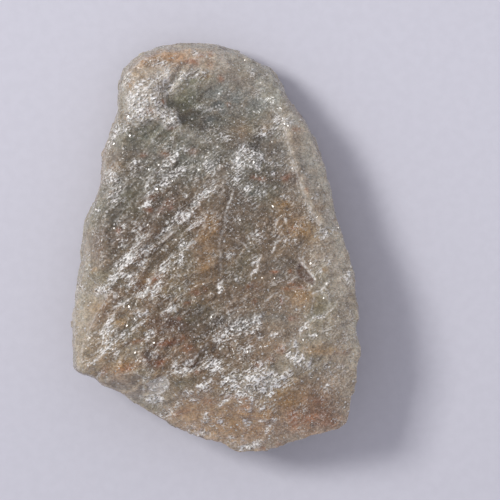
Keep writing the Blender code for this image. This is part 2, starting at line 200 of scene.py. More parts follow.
# Fine crests that catch the light, each with a painted highlight line along it: (strength, line)
CRESTS = (
    (1.0, ((-10.6, 0.0), (-10.1, 0.5), (-9.6, 0.8), (-9.2, 1.2), (-8.7, 1.4), (-8.3, 1.9), (-8.2, 2.1))),
    (0.7, ((-10.2, 0.0), (-9.7, 0.35), (-9.2, 0.7))),
    (0.6, ((-9.0, 6.2), (-8.2, 6.7), (-7.4, 6.9))),
    (0.5, ((-9.0, 5.95), (-8.0, 6.5))),
    (0.7, ((-8.9, 6.8), (-8.65, 7.7), (-8.2, 8.4), (-7.6, 8.8))),
    (0.5, ((-10.0, 5.4), (-9.6, 5.9))),
    (0.6, ((-7.9, 4.2), (-7.1, 4.75), (-6.4, 5.3))),
    (0.8, ((-4.5, 3.2), (-3.8, 3.5), (-3.2, 4.1), (-3.0, 4.9))),
    (0.8, ((-5.2, 3.4), (-5.0, 4.0), (-4.6, 4.3))),
    (0.8, ((-3.0, 5.0), (-2.5, 5.3), (-2.1, 5.7), (-1.8, 6.2), (-1.2, 6.8))),
    (0.9, ((-4.0, 2.0), (-3.3, 2.5), (-2.8, 2.9), (-2.3, 3.1), (-1.9, 3.3), (-1.3, 3.4))),
    (0.6, ((-1.9, 4.2), (-1.2, 4.4), (-0.6, 4.6))),
    (0.8, ((-6.9, 0.7), (-6.2, 1.2), (-5.7, 1.7), (-5.2, 2.1))),
    (0.5, ((-6.7, 1.2), (-6.0, 1.8), (-5.4, 2.3))),
    (0.7, ((-6.6, 2.1), (-6.2, 2.3), (-5.8, 2.6), (-5.3, 2.9))),
    (0.8, ((-9.0, -1.1), (-8.5, -0.7), (-8.0, -0.4))),
    (0.5, ((-9.0, -1.6), (-8.5, -1.3), (-8.0, -1.2))),
    (0.8, ((-12.6, -2.0), (-12.0, -1.6), (-11.3, -1.2), (-10.6, -0.8), (-10.0, -0.8))),
    (0.7, ((-12.9, -3.9), (-12.5, -3.3), (-12.0, -2.9), (-11.5, -2.3), (-10.9, -1.9), (-10.2, -1.4))),
    (0.7, ((-11.2, -3.8), (-10.6, -3.2), (-10.1, -3.1))),
    (0.6, ((-11.1, -4.5), (-10.5, -4.1), (-10.1, -3.6))),
    (0.8, ((-14.6, -5.4), (-14.0, -4.9), (-13.4, -4.4), (-13.0, -4.2), (-12.4, -4.1))),
    (0.7, ((-14.1, -6.0), (-13.5, -5.6), (-13.0, -5.3))),
    (0.9, ((-7.0, -3.2), (-6.8, -2.7), (-6.4, -2.3), (-6.1, -2.0), (-5.6, -1.7))),
    (0.6, ((-6.1, -1.5), (-5.6, -1.0), (-5.2, -0.6))),
    (0.9, ((-4.5, -0.2), (-4.4, 0.4), (-4.0, 0.8))),
    (0.8, ((-3.7, 0.1), (-3.1, 0.6), (-2.5, 0.9))),
    (0.7, ((-4.5, -1.8), (-4.3, -1.2), (-4.1, -0.5))),
    (0.6, ((-8.7, -4.0), (-8.2, -3.6), (-7.7, -3.3), (-7.1, -3.0))),
    (0.9, ((-8.3, -4.9), (-8.25, -4.3), (-8.0, -3.8))),
    (0.9, ((-7.9, -5.0), (-7.5, -4.6), (-7.1, -4.2), (-6.7, -3.9))),
    (0.9, ((-9.5, -6.1), (-9.1, -5.6), (-8.6, -5.3), (-8.1, -5.0))),
    (0.8, ((-8.2, -6.0), (-7.7, -5.8), (-7.3, -5.4))),
    (0.7, ((-12.1, -6.9), (-11.5, -6.8), (-11.1, -6.4), (-10.6, -6.1))),
    (0.6, ((-9.8, -7.9), (-9.3, -7.4), (-8.9, -7.2))),
    (0.7, ((-9.1, -8.1), (-8.6, -7.9), (-8.1, -8.1))),
    (0.8, ((-6.9, -7.9), (-6.4, -7.6), (-5.9, -7.35), (-5.5, -7.65), (-5.1, -7.2), (-4.7, -6.9))),
    (0.9, ((-10.1, -9.8), (-9.7, -9.3), (-9.3, -9.1), (-8.9, -8.8))),
    (0.8, ((-8.6, -10.9), (-8.3, -10.5), (-8.0, -10.0), (-7.5, -9.8))),
    (1.0, ((-14.0, -10.9), (-13.8, -10.1), (-13.5, -9.4), (-13.2, -8.9), (-12.9, -8.4), (-12.4, -7.8))),
    (1.0, ((-15.2, -13.8), (-14.6, -13.4), (-14.1, -13.0), (-13.9, -12.5), (-13.4, -11.9))),
    (0.7, ((-15.0, -15.9), (-14.5, -15.5), (-14.1, -15.0), (-13.8, -14.7))),
    (0.7, ((-13.6, -16.2), (-13.1, -15.8))),
    (0.8, ((-3.3, -13.6), (-2.6, -13.1), (-2.0, -12.6), (-1.5, -12.0), (-1.1, -11.4))),
    (0.7, ((-5.1, -11.8), (-4.7, -11.3))),
    (0.7, ((-4.9, -14.9), (-4.2, -14.7), (-3.5, -14.8), (-3.0, -14.8))),
    (0.6, ((-7.4, -11.6), (-6.9, -11.3))),
    (0.9, ((0.2, -5.4), (0.3, -4.7), (0.5, -4.2), (0.9, -3.7))),
    (0.5, ((0.5, -3.6), (0.45, -2.0), (0.3, 0.0), (0.25, 1.0), (0.6, 1.8), (0.9, 2.7), (1.1, 4.3))),
    (0.9, ((1.1, 4.3), (1.4, 5.2), (1.7, 6.0), (1.9, 6.8))),
    (0.8, ((2.9, 0.9), (3.3, 0.5), (3.9, 0.0))),
    (0.8, ((4.0, -3.6), (4.2, -3.1), (4.6, -2.8), (5.0, -2.4), (4.9, -1.8), (5.2, -1.2), (5.5, -0.8))),
    (0.9, ((6.6, -0.8), (6.8, -0.4), (7.0, 0.2), (7.2, 0.8), (7.6, 0.95), (8.0, 1.1))),
    (0.6, ((7.2, 1.1), (7.7, 1.5), (8.0, 2.1))),
    (0.9, ((7.3, 2.6), (7.2, 3.1), (7.5, 3.6), (7.9, 3.8))),
    (0.8, ((8.3, 3.0), (8.4, 3.4), (8.2, 3.8))),
    (0.7, ((7.3, 4.2), (7.6, 4.6))),
    (0.9, ((9.9, -0.6), (10.0, -1.1), (10.4, -1.8), (10.9, -2.4), (11.4, -2.9), (11.8, -3.4), (12.05, -3.8))),
    (0.8, ((8.1, -4.6), (8.5, -4.2), (9.0, -4.0), (9.4, -3.6), (9.9, -3.3))),
    (0.6, ((9.8, -4.9), (10.6, -4.9), (11.2, -5.1), (11.5, -4.9))),
    (0.9, ((11.5, -5.6), (12.1, -5.2), (12.6, -5.1), (13.0, -4.8), (13.3, -4.3), (13.8, -3.9))),
    (0.6, ((12.0, -4.5), (12.5, -4.7), (12.9, -4.8))),
    (1.0, ((10.0, -10.2), (10.5, -9.8), (10.8, -9.2), (11.3, -8.8), (11.9, -8.4), (12.5, -8.3))),
    (0.9, ((12.5, -8.3), (13.0, -8.15), (13.5, -7.8), (14.0, -7.4), (14.4, -6.9), (14.7, -6.3))),
    (0.5, ((11.6, -6.2), (11.7, -6.8), (11.5, -7.6), (11.5, -8.1))),
    (0.6, ((5.5, -7.0), (5.8, -6.5), (6.3, -6.1), (6.9, -5.6), (7.6, -5.3))),
    (0.7, ((3.1, -6.2), (3.5, -5.9), (3.7, -5.6))),
    (0.8, ((1.2, -8.0), (1.4, -7.6), (1.9, -7.4), (2.5, -7.2))),
    (0.8, ((9.5, -11.0), (9.6, -11.7), (9.8, -12.4))),
    (0.6, ((9.65, -10.7), (9.85, -11.3))),
    (0.7, ((11.6, -13.0), (11.3, -13.8), (11.1, -14.6))),
    (0.7, ((13.2, -17.1), (13.3, -16.6), (13.7, -16.2))),
    (0.8, ((0.0, -19.0), (0.7, -18.7), (1.3, -18.4), (1.8, -18.1))),
    (0.7, ((4.45, -18.1), (4.3, -19.0), (4.05, -19.9))),
    (0.6, ((5.0, -20.9), (5.6, -20.9), (6.2, -20.7))),
    (0.8, ((5.9, -22.6), (6.1, -22.1), (6.5, -21.6), (6.9, -21.3))),
    (0.9, ((3.2, -24.4), (3.9, -24.1), (4.5, -23.9), (5.2, -23.3))),
    (0.8, ((-6.0, 20.2), (-6.1, 20.9), (-5.95, 21.6), (-6.2, 22.0))),
    (0.7, ((-8.0, 18.6), (-7.5, 19.0), (-6.9, 19.4))),
    (0.8, ((-11.0, 18.5), (-10.6, 18.1), (-10.1, 18.5), (-9.8, 19.0), (-9.6, 19.7))),
    (0.6, ((-10.9, 16.2), (-10.6, 15.5), (-10.2, 15.1), (-9.3, 15.0))),
    (0.7, ((-4.85, 16.6), (-4.7, 15.7), (-4.3, 15.2))),
    (0.7, ((-6.0, 10.2), (-5.5, 10.6), (-5.2, 11.3), (-4.9, 11.9))),
    (0.6, ((-11.0, 7.9), (-11.2, 8.5), (-11.4, 8.9))),
    (0.6, ((-13.6, 6.2), (-12.6, 6.2), (-11.8, 6.6), (-11.2, 7.0))),
    (0.5, ((-13.2, 6.9), (-12.4, 7.4), (-11.6, 7.6), (-11.2, 7.3))),
    (0.7, ((-13.2, 10.1), (-12.5, 10.6))),
)

# Frosted places: (x, y, half width, half length, turn in degrees, strength)
FROST = (
    (-9.6, 17.4, 1.2, 1.9, 0, 0.95), (-10.4, 18.6, 0.8, 0.5, 30, 0.7), (-10.2, 16.1, 0.7, 0.7, 0, 0.8),
    (-7.8, 18.6, 1.2, 0.9, 30, 0.55), (-11.2, 20.8, 0.6, 2.0, -15, 0.45),
    (-12.6, 14.0, 0.55, 1.0, -25, 0.9), (-13.3, 12.8, 0.4, 0.8, -15, 0.5), (-6.15, 21.0, 0.3, 1.1, -3, 0.9),
    (-6.3, 19.0, 0.3, 0.7, 0, 0.7), (-7.1, 22.5, 1.0, 0.4, 0, 0.6), (-4.3, 20.7, 0.8, 0.5, 10, 0.6),
    (-2.3, 21.2, 1.2, 0.5, 8, 0.5), (-2.6, 23.7, 0.4, 0.5, 0, 0.75), (-5.8, 24.4, 1.0, 0.35, 5, 0.5),
    (-8.4, 22.75, 0.2, 0.15, 0, 1.0), (-5.4, 16.0, 0.5, 0.9, 10, 0.65), (-6.9, 16.4, 0.9, 0.7, 0, 0.4),
    (-11.2, 14.5, 0.7, 0.35, 35, 0.5), (-5.4, 10.9, 0.35, 1.0, -35, 0.7), (-4.1, 12.0, 0.7, 0.4, 20, 0.45),
    (-7.6, 13.0, 0.7, 0.5, 0, 0.3), (-0.9, 9.6, 0.4, 1.1, 20, 0.45), (-12.8, 8.3, 1.0, 1.3, -15, 0.45),
    (-4.9, 9.3, 1.6, 0.5, 20, 0.45), (-6.8, 9.8, 0.9, 0.5, 20, 0.4), (-8.4, 7.8, 0.3, 0.9, -25, 0.5),
    (-6.6, 7.7, 1.0, 0.4, 25, 0.45), (-10.2, 10.4, 0.8, 0.3, 20, 0.4), (-1.0, 7.2, 0.9, 0.6, 40, 0.6),
    (-2.0, 6.4, 0.8, 0.4, 40, 0.6), (-3.9, 6.4, 0.25, 0.2, 0, 0.8), (4.8, 18.9, 0.7, 0.9, 20, 0.35),
    (0.6, 18.7, 0.9, 0.4, 20, 0.25), (-0.6, 16.9, 1.6, 0.35, -12, 0.35), (8.5, 17.45, 0.12, 0.25, 0, 1.0),
    (6.15, 21.25, 0.3, 0.15, 0, 0.8), (4.3, 21.3, 0.3, 0.9, 10, 0.3), (7.3, 15.5, 0.4, 0.7, 0, 0.75),
    (6.2, 14.3, 1.3, 0.7, 20, 0.4), (8.9, 15.3, 0.6, 0.55, 0, 1.0), (10.0, 15.5, 0.6, 0.6, 0, 0.55),
    (2.7, 10.4, 0.7, 1.6, -8, 0.85), (4.7, 10.8, 1.2, 0.8, 10, 0.75), (3.3, 12.2, 0.8, 0.4, 0, 0.55),
    (4.9, 10.1, 0.5, 0.4, 0, 0.9), (2.5, 8.7, 0.6, 0.8, 0, 0.5), (12.1, 10.9, 0.5, 0.9, -15, 0.6),
    (6.7, 10.1, 0.7, 0.25, 0, 0.5), (6.9, 9.1, 0.3, 0.2, 0, 0.6), (0.8, 13.4, 1.6, 0.5, 0, 0.3),
    (3.5, 7.4, 0.8, 0.5, 0, 0.6), (5.4, 6.8, 0.5, 0.4, 0, 0.5), (8.4, 6.2, 0.5, 0.2, 0, 0.4),
    (-5.4, 19.6, 0.8, 1.0, 0, 0.45), (-12.4, 7.0, 1.3, 0.55, 28, 0.35), (-12.0, 5.8, 0.8, 0.4, 20, 0.35),
    (-8.4, 5.4, 0.5, 0.35, 30, 0.7), (-8.3, 6.6, 0.7, 0.2, 30, 0.5), (-3.7, 3.9, 1.0, 0.5, 42, 0.95),
    (-4.9, 4.0, 0.3, 0.7, -35, 0.7), (-2.7, 5.3, 0.7, 0.45, 40, 0.85), (-1.5, 6.5, 0.8, 0.4, 42, 0.6),
    (-6.2, 3.2, 0.25, 0.2, 0, 0.9), (-11.3, 2.7, 0.3, 0.25, 30, 0.8), (-10.0, 2.1, 0.25, 0.15, 0, 0.8),
    (-13.6, 1.4, 0.15, 0.15, 0, 0.6), (-6.2, 2.2, 0.6, 0.3, 35, 0.6), (-3.0, 2.6, 0.9, 0.25, 35, 0.7),
    (-11.3, 0.5, 0.6, 0.4, 40, 0.5), (-9.6, 0.7, 1.3, 0.3, 40, 0.6), (-11.0, -1.5, 1.4, 0.55, 42, 1.0),
    (-12.3, -2.3, 0.5, 0.4, 40, 0.6), (-8.5, -0.2, 0.9, 0.4, 25, 0.8), (-9.3, -1.7, 0.5, 0.35, 30, 0.7),
    (-12.2, -3.4, 1.1, 0.55, 35, 0.8), (-10.6, -3.5, 0.8, 0.4, 35, 0.85), (-10.5, -4.3, 0.7, 0.3, 40, 0.5),
    (-13.9, -5.0, 1.2, 0.5, 38, 0.85), (-6.4, -2.4, 0.9, 0.5, 48, 0.95), (-5.6, -1.2, 0.6, 0.3, 45, 0.5),
    (-4.2, 0.3, 0.35, 0.7, 0, 0.85), (-3.2, 0.5, 0.7, 0.4, 35, 0.75), (-4.4, -1.2, 0.3, 0.7, -10, 0.6),
    (-7.3, -4.6, 0.9, 0.35, 45, 0.9), (-8.3, -4.2, 0.2, 0.6, -10, 0.8), (-8.9, -5.5, 0.8, 0.2, 38, 0.8),
    (-7.8, -5.8, 0.6, 0.2, 35, 0.7), (-6.8, -4.5, 0.3, 0.2, 30, 0.7), (-11.4, -6.6, 0.9, 0.35, 20, 0.5),
    (-10.5, -6.0, 0.7, 0.25, 35, 0.45), (-9.0, -7.9, 0.9, 0.35, 15, 0.6), (-5.7, -7.4, 0.9, 0.25, 25, 0.6),
    (-9.5, -9.3, 0.7, 0.2, 35, 0.9), (-8.3, -10.4, 0.5, 0.35, 50, 0.85), (-13.4, -9.5, 0.35, 1.1, -25, 1.0),
    (-12.8, -8.3, 0.3, 0.6, -35, 0.6), (-13.0, -10.3, 0.6, 0.8, -30, 0.5), (-16.8, -7.2, 0.3, 0.3, 0, 0.9),
    (-16.5, -8.6, 0.5, 0.2, 0, 0.5), (-16.6, -4.7, 0.4, 0.4, 0, 0.4), (-15.7, -0.9, 0.2, 0.15, 0, 0.6),
    (-14.7, 4.6, 0.4, 0.2, 20, 0.7), (-14.8, -13.5, 0.7, 0.2, 40, 1.0), (-13.7, -12.3, 0.3, 0.6, -40, 0.9),
    (-13.6, -11.2, 0.4, 0.5, -30, 0.7), (-12.5, -11.3, 0.6, 0.35, 20, 0.6),
    (-12.3, -12.5, 0.7, 0.3, 20, 0.35), (-11.6, -10.6, 0.6, 0.5, 0, 0.4),
    (-14.3, -15.3, 0.9, 0.12, 45, 0.5), (-13.3, -16.0, 0.4, 0.12, 40, 0.7),
    (-9.2, -16.9, 0.25, 0.25, 0, 0.7), (-9.6, -17.8, 0.35, 0.2, 30, 0.9), (-8.7, -15.7, 0.4, 0.25, 20, 0.7),
    (-7.6, -18.2, 0.9, 0.45, 0, 0.95), (-8.2, -18.6, 0.4, 0.3, 0, 0.6), (-7.4, -17.0, 0.4, 0.6, -20, 0.5),
    (-4.4, -14.8, 0.5, 0.3, 20, 0.95), (-3.4, -14.8, 0.6, 0.15, 0, 0.8), (-5.0, -14.2, 0.7, 0.3, 35, 0.5),
    (-3.6, -13.7, 0.6, 0.25, 20, 0.7), (-5.7, -15.2, 0.6, 0.25, 35, 0.5), (-0.6, -14.2, 0.9, 0.9, 0, 0.55),
    (-3.6, -17.4, 0.5, 0.3, 0, 0.8), (-1.9, -16.7, 0.7, 0.4, 20, 0.75), (-1.0, -16.0, 0.6, 0.3, 0, 0.5),
    (-2.8, -18.3, 0.4, 0.3, 0, 0.6), (-4.8, -18.9, 0.5, 0.3, 40, 0.5), (-5.7, -19.6, 0.3, 0.3, 0, 0.6),
    (-6.8, -20.2, 1.3, 0.5, 10, 0.4), (-1.4, -20.5, 0.35, 0.8, 0, 0.8), (-1.6, -22.6, 0.6, 0.3, 10, 0.95),
    (-0.6, -21.5, 0.3, 0.2, 0, 0.7), (-2.8, -22.7, 0.2, 0.3, 0, 0.6), (-2.9, -21.3, 0.3, 0.3, 0, 0.5),
    (1.8, -15.6, 1.1, 0.5, 25, 0.85), (1.0, -16.2, 0.8, 0.4, 20, 0.7), (4.8, -15.3, 1.6, 0.9, 30, 0.7),
    (6.6, -16.0, 1.0, 0.9, 45, 1.0), (8.2, -15.5, 0.9, 0.35, 35, 0.95), (7.4, -16.4, 0.8, 0.3, 42, 0.8),
    (5.5, -17.0, 2.2, 0.7, 15, 0.75), (3.0, -17.0, 2.2, 0.9, 10, 0.6), (6.5, -17.7, 0.7, 0.3, 35, 0.6),
    (9.7, -13.5, 0.7, 0.5, -20, 1.0), (9.0, -12.8, 0.6, 0.25, 10, 1.0), (9.6, -11.7, 0.2, 0.8, 15, 0.8),
    (10.3, -13.2, 0.3, 0.4, 0, 0.9), (10.6, -9.7, 0.6, 0.3, 50, 0.95), (12.4, -8.3, 0.9, 0.25, 12, 0.9),
    (11.6, -10.5, 0.4, 0.3, 0, 0.6), (11.3, -13.9, 0.12, 0.7, -22, 0.7), (12.3, -13.5, 0.3, 0.15, 0, 0.6),
    (13.4, -14.4, 0.3, 0.4, 0, 0.7), (15.2, -14.4, 0.8, 0.3, 10, 0.35), (13.4, -16.7, 0.12, 0.5, -30, 0.7),
    (12.0, -17.2, 0.3, 0.2, 0, 0.4), (14.6, -20.7, 0.25, 0.2, 0, 0.5), (15.7, -10.3, 0.25, 0.7, 20, 0.65),
    (17.6, -12.5, 0.15, 0.5, 10, 0.6), (4.9, -8.9, 0.5, 0.8, 20, 0.8), (5.3, -8.2, 0.5, 0.5, 0, 0.7),
    (2.4, -9.5, 1.5, 0.8, 30, 0.4), (4.5, -10.2, 0.3, 0.2, 0, 0.7), (5.3, -10.9, 0.4, 0.2, 0, 0.7),
    (7.0, -10.5, 0.5, 0.3, 0, 0.5), (3.5, -12.2, 1.0, 0.6, 30, 0.55), (3.0, -12.4, 0.2, 0.4, -10, 0.6),
    (0.3, -10.7, 0.7, 0.6, 40, 0.5), (0.9, -18.6, 0.9, 0.15, 32, 0.8), (4.2, -19.0, 0.12, 0.9, -8, 0.7),
    (5.4, -19.3, 0.3, 0.25, 0, 0.8), (3.0, -18.5, 0.4, 0.2, 0, 0.5), (0.4, -20.8, 0.4, 0.4, 20, 0.8),
    (3.4, -21.0, 0.3, 0.2, 30, 0.8), (4.0, -21.1, 0.25, 0.2, 0, 0.7), (5.5, -20.9, 0.6, 0.12, 10, 0.5),
    (7.0, -20.8, 0.3, 0.4, 0, 0.5), (6.4, -21.7, 0.25, 0.2, 40, 0.8), (6.0, -22.2, 0.15, 0.5, -30, 0.6),
    (4.7, -23.8, 0.8, 0.3, 32, 0.95), (3.6, -24.3, 0.8, 0.25, 10, 0.85), (3.2, -22.8, 0.15, 0.4, 0, 0.6),
    (1.6, -23.0, 0.6, 0.3, 0, 0.3), (0.35, -4.9, 0.25, 0.6, 0, 0.8), (4.6, -1.4, 0.5, 0.5, 0, 0.6),
    (4.5, -2.8, 0.4, 0.2, 30, 0.8), (4.9, 1.7, 0.9, 0.5, 20, 0.45), (2.4, -3.8, 0.2, 0.14, 20, 1.0),
    (1.5, -0.8, 0.5, 0.4, 0, 0.55), (16.1, -3.4, 0.35, 0.8, 0, 0.75), (13.5, -1.4, 0.5, 0.6, 0, 0.4),
    (12.6, -2.8, 0.3, 0.3, 0, 0.55), (12.2, 6.4, 0.35, 0.6, -20, 0.9), (13.3, 6.2, 0.25, 0.4, 0, 0.7),
    (13.5, 4.6, 0.3, 0.4, 0, 0.9), (12.3, 7.5, 0.4, 0.4, 0, 0.55), (14.0, 3.7, 0.4, 0.4, 0, 0.6),
    (14.5, 2.5, 0.5, 0.4, 0, 0.6), (11.5, 3.5, 0.4, 0.15, -20, 0.5), (9.6, 2.75, 0.14, 0.12, 0, 1.0),
    (9.5, 1.1, 0.15, 0.15, 0, 0.8), (13.2, 1.7, 0.6, 0.6, 0, 0.45),
)

# Smooth places: (x, y, half width, half length, turn in degrees, strength)
CALM = (
    (2.4, 18.6, 6.5, 3.6, -20, 0.7), (-4.0, 18.4, 1.8, 2.0, 0, 0.8), (-1.6, -2.0, 1.6, 2.8, 0, 0.8),
    (-2.5, -20.0, 2.0, 1.2, 0, 0.7), (2.0, -21.0, 1.4, 1.4, 0, 0.6), (8.8, -18.0, 2.2, 1.4, 20, 0.6),
    (-10.3, 12.0, 2.6, 1.6, 0, 0.6), (12.6, -11.9, 3.0, 0.9, 0, 0.6), (-5.4, -8.6, 2.0, 1.2, 0, 0.5),
)
